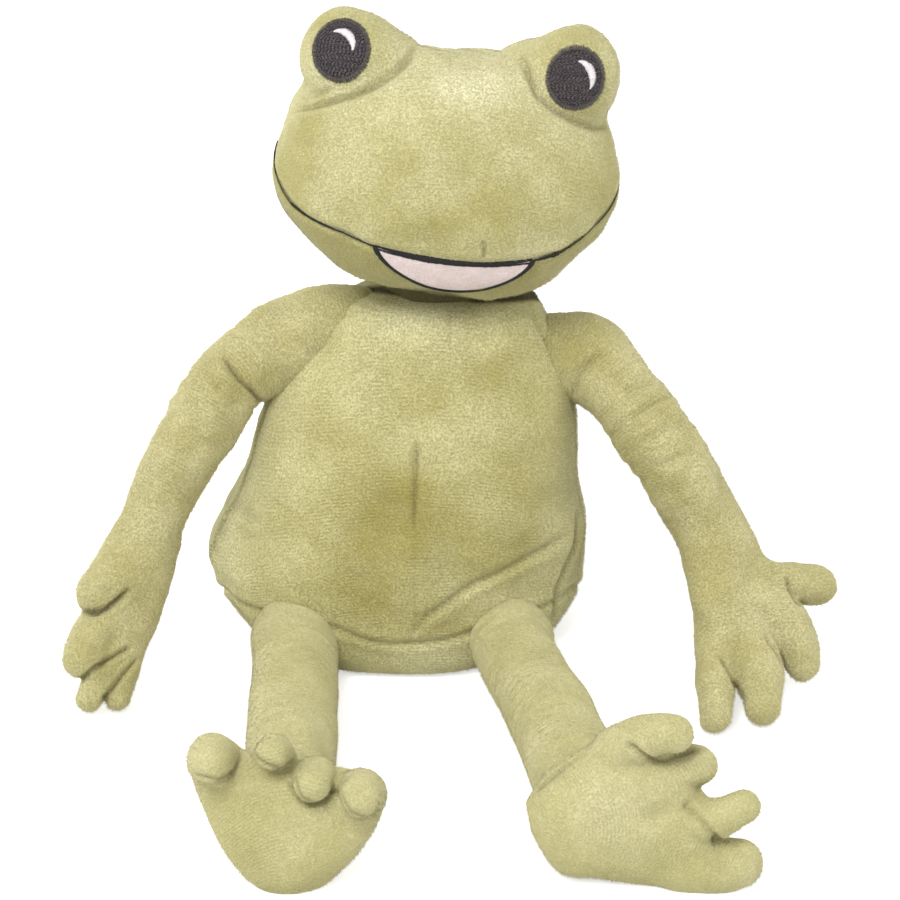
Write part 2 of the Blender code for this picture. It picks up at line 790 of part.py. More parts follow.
def palm_rings(name, inset=0.0):
    start, bend, elbow, wrist, ways, across = arm_places(name)
    thin = ways["hand"].cross(across)
    spread = 1.0 if name == "left" else 0.72
    rings = []
    for row in (0.0, 0.12, 0.24, 0.36, 0.48, 0.60, 0.70, 0.78):
        width, thick = read_rows(palm_shares, row)
        centre = wrist + ways["hand"] * (row * HAND_LENGTH * 0.80)
        half, deep = width * PALM_WIDTH * spread - inset, thick * PALM_THICKNESS - inset
        if row == palm_shares[-1][0]:
            rings.append([centre - ways["hand"] * inset])
        else:
            rings.append(section(centre, across, thin, half, deep, deep, LIMB_SEGMENTS))
    return rings


def digit(name, root, tip, radius, cutters, segments=SMALL_SEGMENTS):
    """A finger or toe: a rounded tube that is a little fuller at its tip."""
    ahead = (tip - root).normalized()
    flat = ahead.orthogonal().normalized()
    points = [root, root.lerp(tip, 0.5), tip]
    sizes = [(radius * 0.86, radius * 0.86), (radius * 0.92, radius * 0.92), (radius, radius)]
    rings = limb_rings(points, sizes, flat, segments)
    start = [root - ahead * radius * 0.5]
    return lofted(name, [start, *rings, *ball_end(tip, ahead, radius, 0, flat, segments, (30, 60))], cutters)


def make_arm(name, parts, cutters, looks, floor):
    start, bend, elbow, wrist, ways, across = arm_places(name)
    root = ball(f"arm_root_{name}", start, SHOULDER_RADIUS, parts, looks["shade"], 16, 8, ways["root"])
    socket = socket_for(f"arm_socket_{name}", start, SHOULDER_RADIUS, cutters, ways["root"])
    elbow_socket = socket_for(f"elbow_socket_{name}", elbow, ELBOW_RADIUS, cutters, ways["forearm"])
    upper_core = lofted(f"upper_arm_inside_{name}", upper_arm_rings(name, CLOTH, OVERRUN), cutters)
    upper = lofted(f"upper_arm_cloth_{name}", upper_arm_rings(name), parts, looks["plush"])
    cut(upper, upper_core, socket)
    upper_filling = lofted(f"upper_arm_stuffing_{name}", upper_arm_rings(name, CLOTH + GAP), parts,
                           looks["stuffing"])
    cut(upper_filling, socket)
    fore_core = lofted(f"forearm_inside_{name}", forearm_rings(name, CLOTH, OVERRUN), cutters)
    fore = lofted(f"forearm_and_hand_{name}", forearm_rings(name), parts, looks["plush"])
    join(fore, lofted(f"palm_{name}", palm_rings(name), cutters))
    thin = ways["hand"].cross(across)
    for k, (tip, base) in enumerate(zip(finger_tip_shares[name], finger_root_shares[name])):
        ends = [wrist + (ways["hand"] * along + across * over) * HAND_LENGTH for along, over in (base, tip)]
        join(fore, digit(f"finger_{k}_{name}", ends[0], ends[1], FINGER_RADIUS, cutters))
    cut(fore, fore_core, elbow_socket, floor)
    fore_filling = lofted(f"forearm_stuffing_{name}", forearm_rings(name, CLOTH + GAP), parts,
                          looks["stuffing"])
    cut(fore_filling, elbow_socket)
    hang([root], axis_empty(f"shoulder_swing_axis_{name}", start, parts))
    hang([upper, upper_filling], axis_empty(f"shoulder_lift_axis_{name}", start, parts))
    hang([fore, fore_filling], axis_empty(f"elbow_axis_{name}", elbow, parts))


# Legs

def leg_places(name):
    start = hip(SIDES[name])
    ways = {key: turned(value) for key, value in leg_directions[name].items()}
    ankle = start + ways["leg"] * LEG_LENGTH
    inner = (ways["inner"] - ways["toes"] * ways["inner"].dot(ways["toes"])).normalized()
    sole = ways["toes"].cross(inner)
    if sole.y > 0:
        sole.negate()
    along, over = foot_shift_shares[name]
    heel = ankle + sole * ANKLE_SEAT + ways["toes"] * FOOT_LENGTH * along + inner * FOOT_WIDTH * over
    return start, ankle, heel, ways["leg"], ways["toes"], inner, sole


def leg_rings(name, inset=0.0, early=0.0):
    start, ankle, heel, ahead, toes, inner, sole = leg_places(name)
    rim = HIP_RADIUS * math.cos(math.radians(RIM_DEG))
    flat = Vector((1, 0, 0))
    points, sizes = [], []
    profile_shares = ((0.0, 0.91), (0.08, 0.97), (0.22, 1.0), (0.45, 0.97), (0.70, 0.95), (0.88, 0.90),
                      (1.0, ANKLE_RADIUS / (LEG_WIDTH / 2)))
    for along, size in profile_shares:
        points.append(start + ahead * (rim + (LEG_LENGTH - rim) * along))
        half = size * LEG_WIDTH / 2
        sizes.append((half, half))
    rings = limb_rings(points, sizes, flat, inset=inset, early=early)
    return rings + ball_end(ankle, ahead, ANKLE_RADIUS, inset, flat, LIMB_SEGMENTS)


def foot_rings(name, inset=0.0):
    """The padded sole, from behind the heel to the toes' roots."""
    start, ankle, heel, ahead, toes, inner, sole = leg_places(name)
    rings = []
    back = heel - toes * FOOT_LENGTH * PAD_START_share
    for row in even_shares(8):
        width, thick = read_rows(foot_shares, row)
        centre = back + toes * (inset + row * (FOOT_LENGTH - 2 * inset))
        if row in (0.0, 1.0):
            rings.append([centre])
            continue
        half, deep = width * FOOT_WIDTH - inset, thick * FOOT_THICKNESS - inset
        rings.append(section(centre, inner, sole, max(half, GAP), max(deep, GAP), max(deep, GAP),
                             16, HEAD_SQUARENESS))
    return rings


def toe_ends(name, k):
    start, ankle, heel, ahead, toes, inner, sole = leg_places(name)
    along, over = toe_root_shares[k]
    spread, curl = math.radians(toe_spread_degs[k]), math.radians(toe_curl_degs[name])
    root = heel + toes * along * FOOT_LENGTH + inner * over * FOOT_WIDTH
    way = toes * math.cos(spread) + inner * math.sin(spread)
    return root, root + (way * math.cos(curl) + sole * math.sin(curl)) * TOE_LENGTH


def make_leg(name, parts, cutters, looks, floor):
    start, ankle, heel, ahead, toes, inner, sole = leg_places(name)
    root = ball(f"leg_root_{name}", start, HIP_RADIUS, parts, looks["shade"], 16, 8, ahead)
    socket = socket_for(f"leg_socket_{name}", start, HIP_RADIUS, cutters, ahead)
    ankle_socket = socket_for(f"ankle_socket_{name}", ankle, ANKLE_RADIUS, cutters, ahead)
    core = lofted(f"leg_inside_{name}", leg_rings(name, CLOTH, OVERRUN), cutters)
    leg = lofted(f"leg_cloth_{name}", leg_rings(name), parts, looks["plush"])
    cut(leg, core, socket, floor)
    filling = lofted(f"leg_stuffing_{name}", leg_rings(name, CLOTH + GAP + FLOOR_PRESS), parts,
                     looks["stuffing"])
    cut(filling, socket)
    inside = lofted(f"foot_inside_{name}", foot_rings(name, CLOTH), cutters)
    panels = []
    for part, way in (("foot_sole", 1), ("foot_top", -1)):
        limit = half_space(f"{part}_side_{name}", heel, sole * way, cutters, 3 * FOOT_LENGTH)
        panel = lofted(f"{part}_{name}", foot_rings(name), parts, looks["plush"])
        for k, (along, over) in enumerate(toe_root_shares):
            ends = toe_ends(name, k)
            join(panel, digit(f"toe_{k}_{part}_{name}", ends[0], ends[1],
                              TOE_RADIUS * toe_size_shares[k], cutters))
        cut(panel, inside)
        keep(panel, limit)
        cut(panel, ankle_socket, floor)
        panels.append(panel)
    beans = lofted(f"foot_filling_{name}", foot_rings(name, CLOTH + GAP + FLOOR_PRESS), parts, looks["beans"])
    cut(beans, ankle_socket)
    hang([root], axis_empty(f"hip_splay_axis_{name}", start, parts))
    hang([leg, filling], axis_empty(f"hip_swing_axis_{name}", start, parts))
    hang([*panels, beans], axis_empty(f"ankle_axis_{name}", ankle, parts))


def main():
    clear_scene()
    parts, cutters = collection("plush_frog"), collection("cutters")
    looks = {
        "plush": material("plush", PLUSH),
        "belly": material("plush_belly", PLUSH_BELLY),
        "shade": material("plush_shade", PLUSH_SHADE),
        "eye": material("eye_thread", EYE_THREAD, 0.6),
        "glint": material("glint_thread", GLINT_THREAD, 0.6),
        "mouth": material("mouth_cloth", MOUTH_CLOTH),
        "line": material("line_thread", LINE_THREAD, 0.6),
        "stuffing": material("stuffing", STUFFING),
        "beans": material("beans", BEANS, 0.5),
    }
    floor = half_space("floor", Vector((0, 0, GAP / 2)), (0, 0, -1), cutters, 4 * BODY_WIDTH)
    make_body(parts, cutters, looks)
    make_neck(parts, looks)
    make_head(parts, cutters, looks)
    for name in SIDES:
        make_arm(name, parts, cutters, looks, floor)
        make_leg(name, parts, cutters, looks, floor)


main()
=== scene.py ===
import math

import bpy
import numpy as np
from mathutils import Matrix, Vector


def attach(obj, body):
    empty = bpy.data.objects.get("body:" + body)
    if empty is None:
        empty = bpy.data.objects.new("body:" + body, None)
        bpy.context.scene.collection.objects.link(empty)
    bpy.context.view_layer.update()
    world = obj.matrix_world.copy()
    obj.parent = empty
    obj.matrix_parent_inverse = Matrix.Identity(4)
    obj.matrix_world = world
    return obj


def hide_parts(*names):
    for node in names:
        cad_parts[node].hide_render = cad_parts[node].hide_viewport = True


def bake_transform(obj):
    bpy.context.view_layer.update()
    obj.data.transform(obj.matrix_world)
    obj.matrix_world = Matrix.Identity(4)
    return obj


# Tables and fields are in millimetres, and a finished mesh is in metres.
MM = 0.001
NECK_PIVOT = (15.1, 9.0, 143.5)
PILE_PER_MM2 = 3.0
THREAD_WIDTH = 0.42
LINE_THREAD_WIDTH = 0.55
KNIT_PITCH = 0.00132
ROLL_REACH = 5.0
LIMB_STEP = 0.95
FLOOR_GAP = 0.15
CAMERA_TILT = math.radians(26)
TOWARD = np.array((0, -math.cos(CAMERA_TILT), math.sin(CAMERA_TILT)))

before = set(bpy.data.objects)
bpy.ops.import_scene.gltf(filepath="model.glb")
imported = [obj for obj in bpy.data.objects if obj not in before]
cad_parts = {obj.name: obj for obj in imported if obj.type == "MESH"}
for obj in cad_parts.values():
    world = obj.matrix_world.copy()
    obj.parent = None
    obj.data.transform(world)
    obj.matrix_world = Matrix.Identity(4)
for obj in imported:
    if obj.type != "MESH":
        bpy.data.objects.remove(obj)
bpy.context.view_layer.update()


# Fields: the distance from a form's surface in millimetres, negative inside it

def curve(rows, steps=6):
    """Rows of numbers along a smooth curve through the given ones."""
    rows = np.array(rows, float)
    ends = np.vstack([2 * rows[0] - rows[1], rows, 2 * rows[-1] - rows[-2]])
    made = []
    for a, b, c, d in zip(ends, ends[1:], ends[2:], ends[3:]):
        for t in np.linspace(0, 1, steps, endpoint=False):
            made.append(0.5 * (2 * b + (c - a) * t + (2 * a - 5 * b + 4 * c - d) * t ** 2
                               + (3 * b - a - 3 * c + d) * t ** 3))
    return np.array([*made, rows[-1]])


def melt(a, b, reach):
    """Two forms as one, with a soft valley of this reach where they meet."""
    share = np.clip(0.5 + 0.5 * (b - a) / reach, 0, 1)
    return b + (a - b) * share - reach * share * (1 - share)


def limb(points, path, flat=None, thin=1.0):
    """The field of a round limb along rows of x, y, z and radius, made thin along the direction flat."""
    best = None
    for a, b in zip(path, path[1:]):
        way = b[:3] - a[:3]
        off = points - a[:3]
        share = np.clip(off @ way / (way @ way), 0, 1)
        off = off - share[:, None] * way
        if flat is not None:
            off = off + np.outer(off @ flat, flat) * (1 / thin - 1)
        far = np.sqrt((off * off).sum(1)) - (a[3] + (b[3] - a[3]) * share)
        best = far if best is None else np.minimum(best, far)
    return best


def line_place(points, line):
    """Each point's distance from a line, how far along the line its nearest place is, and on which part."""
    best, start = None, 0.0
    for k, (a, b) in enumerate(zip(line, line[1:])):
        way = b - a
        off = points - a
        share = np.clip(off @ way / (way @ way), 0, 1)
        far = np.linalg.norm(off - share[:, None] * way, axis=1)
        length = np.linalg.norm(way)
        found = np.stack([far, start + share * length, np.full(len(points), k)])
        best = found if best is None else np.where(far < best[0], found, best)
        start += length
    return best


def ball(points, centre, radii):
    off = (points - np.array(centre)) / np.array(radii)
    return (np.sqrt((off * off).sum(1)) - 1) * min(radii)


def stack(points, rows, square):
    """The field of sections stacked along Z. A row is z, left, right, front and back."""
    rows = np.array(rows, float)
    fine = curve(rows, 8)
    fine = fine[np.argsort(fine[:, 0])]
    left, right, front, back = (np.interp(points[:, 2], fine[:, 0], fine[:, k]) for k in (1, 2, 3, 4))
    middle = (left + right) / 2
    half = np.maximum((right - left) / 2, 0.5)
    across = np.abs(points[:, 0] - middle) / half
    deep = np.where(points[:, 1] < 0, points[:, 1] / np.minimum(front, -0.5),
                    points[:, 1] / np.maximum(back, 0.5))
    size = (across ** square + np.abs(deep) ** square) ** (1 / square)
    side = (size - 1) * np.minimum(half, (back - front) / 2)
    return np.maximum(side, np.maximum(rows[0, 0] - points[:, 2], points[:, 2] - rows[-1, 0]))


def lumps(points, size, seed, count=14):
    """Soft unevenness between about -1 and 1."""
    rng = np.random.default_rng(seed)
    ways = rng.normal(size=(count, 3))
    ways *= (2 * math.pi / size) * rng.uniform(0.6, 1.4, (count, 1)) / np.linalg.norm(ways, axis=1)[:, None]
    turns = rng.uniform(0, 2 * math.pi, count)
    return sum(np.cos(points @ way + turn) for way, turn in zip(ways, turns)) / math.sqrt(count)


# Skins

def grid_values(field, low, counts, step):
    """The field on a grid, worked out closely only near its surface."""
    rough_counts = [(n - 1) // 4 + 2 for n in counts]
    places = np.indices(rough_counts).reshape(3, -1).T * (4 * step) + low
    rough = field(places).reshape(rough_counts)
    pick = [np.minimum(np.rint(np.arange(n) / 4).astype(int), m - 1)
            for n, m in zip(counts, rough_counts)]
    values = rough[np.ix_(*pick)]
    close = np.abs(values) < 10 * step
    values[close] = field(np.argwhere(close) * step + low)
    return values


def slope(field, points, step=0.25):
    ways = np.eye(3) * step
    return np.stack([(field(points + w) - field(points - w)) / (2 * step) for w in ways], 1)


def skin(field, low, high, step):
    """Points and four-sided faces over a field's surface, closed and facing out."""
    low = np.array(low, float)
    counts = np.ceil((np.array(high) - low) / step).astype(int) + 1
    values = grid_values(field, low, counts, step)
    cells = counts - 1
    total, number, edges = np.zeros((int(np.prod(cells)), 3)), np.zeros(int(np.prod(cells))), []
    for axis in range(3):
        a = np.take(values, range(counts[axis] - 1), axis)
        b = np.take(values, range(1, counts[axis]), axis)
        hit = (a < 0) != (b < 0)
        spots = np.argwhere(hit)
        place = spots.astype(float)
        place[:, axis] += a[hit] / (a[hit] - b[hit])
        u, v = [k for k in range(3) if k != axis]
        around = []
        for du, dv in ((-1, -1), (0, -1), (0, 0), (-1, 0)):
            cell = spots.copy()
            cell[:, u] += du
            cell[:, v] += dv
            flat = np.ravel_multi_index(cell.T, cells)
            number += np.bincount(flat, minlength=len(number))
            for k in range(3):
                total[:, k] += np.bincount(flat, place[:, k], minlength=len(number))
            around.append(flat)
        quads = np.stack(around, 1)
        turn = (a[hit] < 0) == (axis == 1)
        quads[turn] = quads[turn][:, ::-1]
        edges.append(quads)
    used = number > 0
    index = np.cumsum(used) - 1
    points = total[used] / number[used][:, None] * step + low
    faces = index[np.concatenate(edges)]
    for _ in range(2):
        points = relaxed(points, faces, 0.6)
        rise = slope(field, points)
        points = points - rise * (field(points) / np.maximum((rise * rise).sum(1), 0.05))[:, None]
    return points, faces


def relaxed(points, faces, share):
    """Each point moved towards the middle of its neighbours."""
    starts, ends = faces.ravel(), np.roll(faces, -1, 1).ravel()
    number = sum(np.bincount(ends_of, minlength=len(points)) for ends_of in (starts, ends))
    middle = np.stack([
        sum(np.bincount(a, points[b, k], len(points)) for a, b in ((starts, ends), (ends, starts))) / number
        for k in range(3)], 1)
    return points + (middle - points) * share


def outward(points, faces):
    """Unit normals at the points."""
    a, b, c, d = (points[faces[:, k]] for k in range(4))
    wide = np.cross(c - a, d - b)
    made = np.stack([sum(np.bincount(faces[:, n], wide[:, k], len(points)) for n in range(4))
                     for k in range(3)], 1)
    return made / np.maximum(np.linalg.norm(made, axis=1), 1e-9)[:, None]


# Seams, creases, painted shade, and patches of brushed pile and painted light

def groove(far, depth, lip):
    """The move over a fold at this distance, in widths of the fold, with a share of it raised beside it."""
    return lip * depth * np.exp(-(far - 2.2) ** 2) - depth * np.exp(-far ** 2)


def seam(far, depth, width, lip, lip_at, lip_width):
    """The move over a sewn seam at this distance, with a small roll beside it."""
    return lip * np.exp(-((far - lip_at) / lip_width) ** 2) - depth * np.exp(-(far / width) ** 2)


def seen(points):
    """Places across the line of sight: X, and the height as it looks from the camera."""
    height = points[:, 1] * math.sin(CAMERA_TILT) + points[:, 2] * math.cos(CAMERA_TILT)
    return np.stack([points[:, 0], height], 1)


def creases(points, normals, rows):
    """The moves of creases along seen lines and the shade painted in them. roll lifts the cloth on a line's
    right.
    """
    move, shade, places = np.zeros(len(points)), np.zeros(len(points)), seen(points)
    for line, width, depth, lip, dark, roll in rows:
        line = np.array(line, float)
        ways = np.diff(line, axis=0)
        far, run, part = line_place(places, line)
        part = part.astype(int)
        off = places - line[part]
        right = ways[part, 1] * off[:, 0] > ways[part, 0] * off[:, 1]
        share = run / np.linalg.norm(ways, axis=1).sum()
        ends = np.sqrt(np.clip(np.minimum(share, 1 - share) * 6, 0, 1))
        strong = np.clip(normals @ TOWARD * 3, 0, 1) * ends
        lifted = roll * right * (1 - np.exp(-(far / width) ** 2)) * np.exp(-(far / ROLL_REACH) ** 2)
        move += strong * (groove(far / width, depth, lip) + lifted)
        shade = np.maximum(shade, strong * dark * np.exp(-(far / width / 0.6) ** 2))
    return move, shade


def brush_and_painted_light(points, rows):
    """Where the colour turns lighter (to 1) or darker (to -1) in soft patches, for brushed pile and for
    painted light and shade.
    """
    places, made = seen(points), np.zeros(len(points))
    for x, height, wide, high, strong in rows:
        made += strong * np.exp(-((places[:, 0] - x) / wide) ** 2 - ((places[:, 1] - height) / high) ** 2)
    return made


def dents(points, rows):
    """Broad soft hollows along lines. A negative depth makes a bulge."""
    return -sum(depth * np.exp(-(line_place(points, np.array(line, float))[0] / width) ** 2)
                for line, width, depth in rows)


def placed(name, data):
    """A new object in the scene."""
    made = bpy.data.objects.new(name, data)
    bpy.context.scene.collection.objects.link(made)
    return made


def mesh_piece(name, points, faces, look, attributes=()):
    data = bpy.data.meshes.new(name)
    faces = faces.tolist() if isinstance(faces, np.ndarray) else faces
    data.from_pydata((points * MM).tolist(), [], faces)
    for key, values in attributes:
        data.attributes.new(key, "FLOAT", "POINT").data.foreach_set("value", np.asarray(values, np.float32))
    data.materials.append(look)
    data.shade_smooth()
    return placed(name, data)


# Shader networks

def feed(tree, node, **inputs):
    """Sets inputs by name or by number (i0, i1). A value is a number, a colour or another node's output."""
    for key, value in inputs.items():
        numbered = key[0] == "i" and key[1:].isdigit()
        slot = node.inputs[int(key[1:]) if numbered else key.replace("_", " ")]
        if isinstance(value, bpy.types.NodeSocket):
            tree.links.new(value, slot)
        else:
            slot.default_value = value


def wire(tree, kind, settings=None, **inputs):
    """Adds a node with its settings and inputs."""
    node = tree.nodes.new(kind)
    for key, value in (settings or {}).items():
        setattr(node, key, value)
    feed(tree, node, **inputs)
    return node


def new_tree(name, kind, inputs, outputs):
    """A node tree with inputs of (name, kind, value) and outputs of (name, kind)."""
    tree = bpy.data.node_groups.new(name, kind)
    for label, socket, value in inputs:
        slot = tree.interface.new_socket(label, in_out="INPUT", socket_type="NodeSocket" + socket)
        if value is not None:
            slot.default_value = value
    for label, socket in outputs:
        tree.interface.new_socket(label, in_out="OUTPUT", socket_type="NodeSocket" + socket)
    return tree, tree.nodes.new("NodeGroupInput").outputs, tree.nodes.new("NodeGroupOutput")


def maths(tree, operation, a, b=0.0, c=0.0):
    return wire(tree, "ShaderNodeMath", {"operation": operation}, i0=a, i1=b, i2=c).outputs[0]


def vector(tree, operation, **inputs):
    return wire(tree, "ShaderNodeVectorMath", {"operation": operation}, **inputs).outputs[0]


def mixed(tree, share, a, b):
    return wire(tree, "ShaderNodeMix", {"data_type": "RGBA"}, i0=share, i6=a, i7=b).outputs[2]


def attribute(tree, name, output="Fac"):
    return wire(tree, "ShaderNodeAttribute", {"attribute_name": name}).outputs[output]


def linear(colour, factor=1.0):
    """A colour for a socket, made lighter or darker by a factor."""
    colour = [min(1, c * factor) for c in colour]
    return (*[c / 12.92 if c <= 0.04045 else ((c + 0.055) / 1.055) ** 2.4 for c in colour], 1)


def plush_mottle_group():
    """Where the pile lies another way it looks lighter or darker, in soft smudges and a fine grain."""
    tree, given, out = new_tree(
        "plush_mottle", "ShaderNodeTree",
        (("Place", "Vector", None), ("Smudge Size", "Float", 0.03), ("Grain Size", "Float", 0.0008)),
        (("Smudge", "Float"), ("Grain", "Float")))
    broad = wire(tree, "ShaderNodeTexNoise", Vector=given["Place"], Detail=2.0, Roughness=0.5,
                 Scale=maths(tree, "DIVIDE", 1.0, given["Smudge Size"]))
    fine = wire(tree, "ShaderNodeTexNoise", Vector=given["Place"], Detail=2.0, Roughness=0.7,
                Scale=maths(tree, "DIVIDE", 1.0, given["Grain Size"]))
    soft = wire(tree, "ShaderNodeMapRange", {"interpolation_type": "SMOOTHSTEP"},
                Value=broad.outputs[0], From_Min=0.30, From_Max=0.70)
    sharp = wire(tree, "ShaderNodeMapRange", Value=fine.outputs[0], From_Min=0.36, From_Max=0.64)
    feed(tree, out, Smudge=soft.outputs[0], Grain=sharp.outputs[0])
    return tree


def knit_rows_group():
    """The backing's knit rows, which part the pile into fine lines that fade in and out."""
    tree, given, out = new_tree(
        "knit_rows", "ShaderNodeTree",
        (("Place", "Vector", None), ("Rows", "Float", 0.0), ("Pitch", "Float", 0.0013)),
        (("Height", "Float"),))
    fade = wire(tree, "ShaderNodeTexNoise", Vector=given["Place"], Scale=55.0, Detail=1.0)
    turn = maths(tree, "MULTIPLY", maths(tree, "DIVIDE", given["Rows"], given["Pitch"]), 2 * math.pi)
    wave = maths(tree, "MULTIPLY_ADD", maths(tree, "SINE", turn), 0.5, 0.5)
    shown = wire(tree, "ShaderNodeMapRange", {"interpolation_type": "SMOOTHSTEP"},
                 Value=fade.outputs[0], From_Min=0.36, From_Max=0.62)
    feed(tree, out, Height=maths(tree, "MULTIPLY", wave, shown.outputs[0]))
    return tree


MOTTLE, KNIT = plush_mottle_group(), knit_rows_group()


def new_material(name):
    """A material with its shader, and the piece's own places for its patterns."""
    made = bpy.data.materials.new(name)
    made.use_nodes = True
    tree = made.node_tree
    tree.nodes.clear()
    shader = tree.nodes.new("ShaderNodeBsdfPrincipled")
    wire(tree, "ShaderNodeOutputMaterial", Surface=shader.outputs[0])
    return made, tree, shader, wire(tree, "ShaderNodeTexCoord").outputs["Object"]


def plush_material(name, light, dark, knit_share, smudge, grain, pile=False):
    """Short plush, with painted shade and a painted sheen towards its edges. knit_share is how strongly the
    knit shows, and pile is set for the fibres on it.
    """
    made, tree, shader, place = new_material(name)
    mottle = wire(tree, "ShaderNodeGroup", {"node_tree": MOTTLE}, Place=place, Smudge_Size=smudge).outputs
    # Patches of brushed pile and of painted light and shade lighten or darken the mix
    brush_and_light_share = maths(tree, "MULTIPLY_ADD", attribute(tree, "brush_and_painted_light"), 0.6, 0.3)
    share = maths(tree, "MULTIPLY_ADD", mottle["Smudge"], 0.4, brush_and_light_share)
    grained, below = maths(tree, "MULTIPLY", mottle["Grain"], grain), linear(dark, 0.76)
    colour = mixed(tree, share, linear(dark), linear(light))
    if pile:
        toned = maths(tree, "MULTIPLY", attribute(tree, "tone"), 0.6)
        colour = mixed(tree, toned, colour, linear(light, 1.12))
        colour = mixed(tree, grained, colour, below)
        skin_way = wire(tree, "ShaderNodeVectorTransform",
                        {"vector_type": "NORMAL", "convert_from": "OBJECT", "convert_to": "WORLD"},
                        Vector=attribute(tree, "lie", "Vector")).outputs[0]
        own_way = wire(tree, "ShaderNodeNewGeometry").outputs["Normal"]
        both = vector(tree, "MULTIPLY_ADD", i0=skin_way, i1=(1.6, 1.6, 1.6), i2=own_way)
        way = vector(tree, "NORMALIZE", i0=both)
    else:
        knit = wire(tree, "ShaderNodeGroup", {"node_tree": KNIT}, Place=place, Rows=attribute(tree, "rows"),
                    Pitch=KNIT_PITCH).outputs["Height"]
        colour = mixed(tree, grained, colour, below)
        colour = mixed(tree, maths(tree, "MULTIPLY", knit, knit_share), colour, below)
        height = maths(tree, "SUBTRACT", maths(tree, "MULTIPLY", mottle["Grain"], -0.8),
                       maths(tree, "MULTIPLY", knit, knit_share * 1.4))
        way = wire(tree, "ShaderNodeBump", Height=height, Distance=0.0006, Strength=0.7).outputs[0]
    # Painted sheen: the colour turns lighter towards the edges as they are seen
    edge = wire(tree, "ShaderNodeLayerWeight", Blend=0.35).outputs["Facing"]
    rim = maths(tree, "MULTIPLY", maths(tree, "POWER", edge, 2.0), 0.55)
    colour = mixed(tree, rim, colour, linear(light, 1.10))
    # Painted shade: the colour goes towards a deep brown in creases, along seams and under the chin
    deep = [c * part for c, part in zip(dark, (0.36, 0.32, 0.22))]
    colour = mixed(tree, attribute(tree, "painted_shade"), colour, linear(deep))
    feed(tree, shader, Base_Color=colour, Normal=way, Roughness=0.85, Specular_IOR_Level=0.15,
         Sheen_Weight=0.15, Sheen_Roughness=0.4, Sheen_Tint=linear(light, 1.15))
    return made


def thread_material(name, light, dark, roughness=0.42, sheen=0.2):
    """Embroidery thread, a little lighter on some stitches than on others."""
    made, tree, shader, place = new_material(name)
    fine = wire(tree, "ShaderNodeTexNoise", Vector=place, Scale=1800.0, Detail=2.0).outputs[0]
    share = maths(tree, "MULTIPLY", maths(tree, "ADD", attribute(tree, "tone"), fine), 0.5)
    bump = wire(tree, "ShaderNodeBump", Height=fine, Distance=0.0001, Strength=0.5)
    feed(tree, shader, Base_Color=mixed(tree, share, linear(dark), linear(light)), Normal=bump.outputs[0],
         Roughness=roughness, Sheen_Weight=sheen)
    return made


def fleece_material(name, light, dark):
    """The mouth's pale brushed cloth."""
    made, tree, shader, place = new_material(name)
    mottle = wire(tree, "ShaderNodeGroup", {"node_tree": MOTTLE}, Place=place, Smudge_Size=0.006,
                  Grain_Size=0.0009).outputs
    share = maths(tree, "MULTIPLY", maths(tree, "ADD", mottle["Smudge"], mottle["Grain"]), 0.5)
    bump = wire(tree, "ShaderNodeBump", Height=mottle["Grain"], Distance=0.0004, Strength=0.5)
    feed(tree, shader, Base_Color=mixed(tree, share, linear(dark), linear(light)), Normal=bump.outputs[0],
         Roughness=0.9, Sheen_Weight=0.3)
    return made


# Pile: short fibres over a skin, by Geometry Nodes

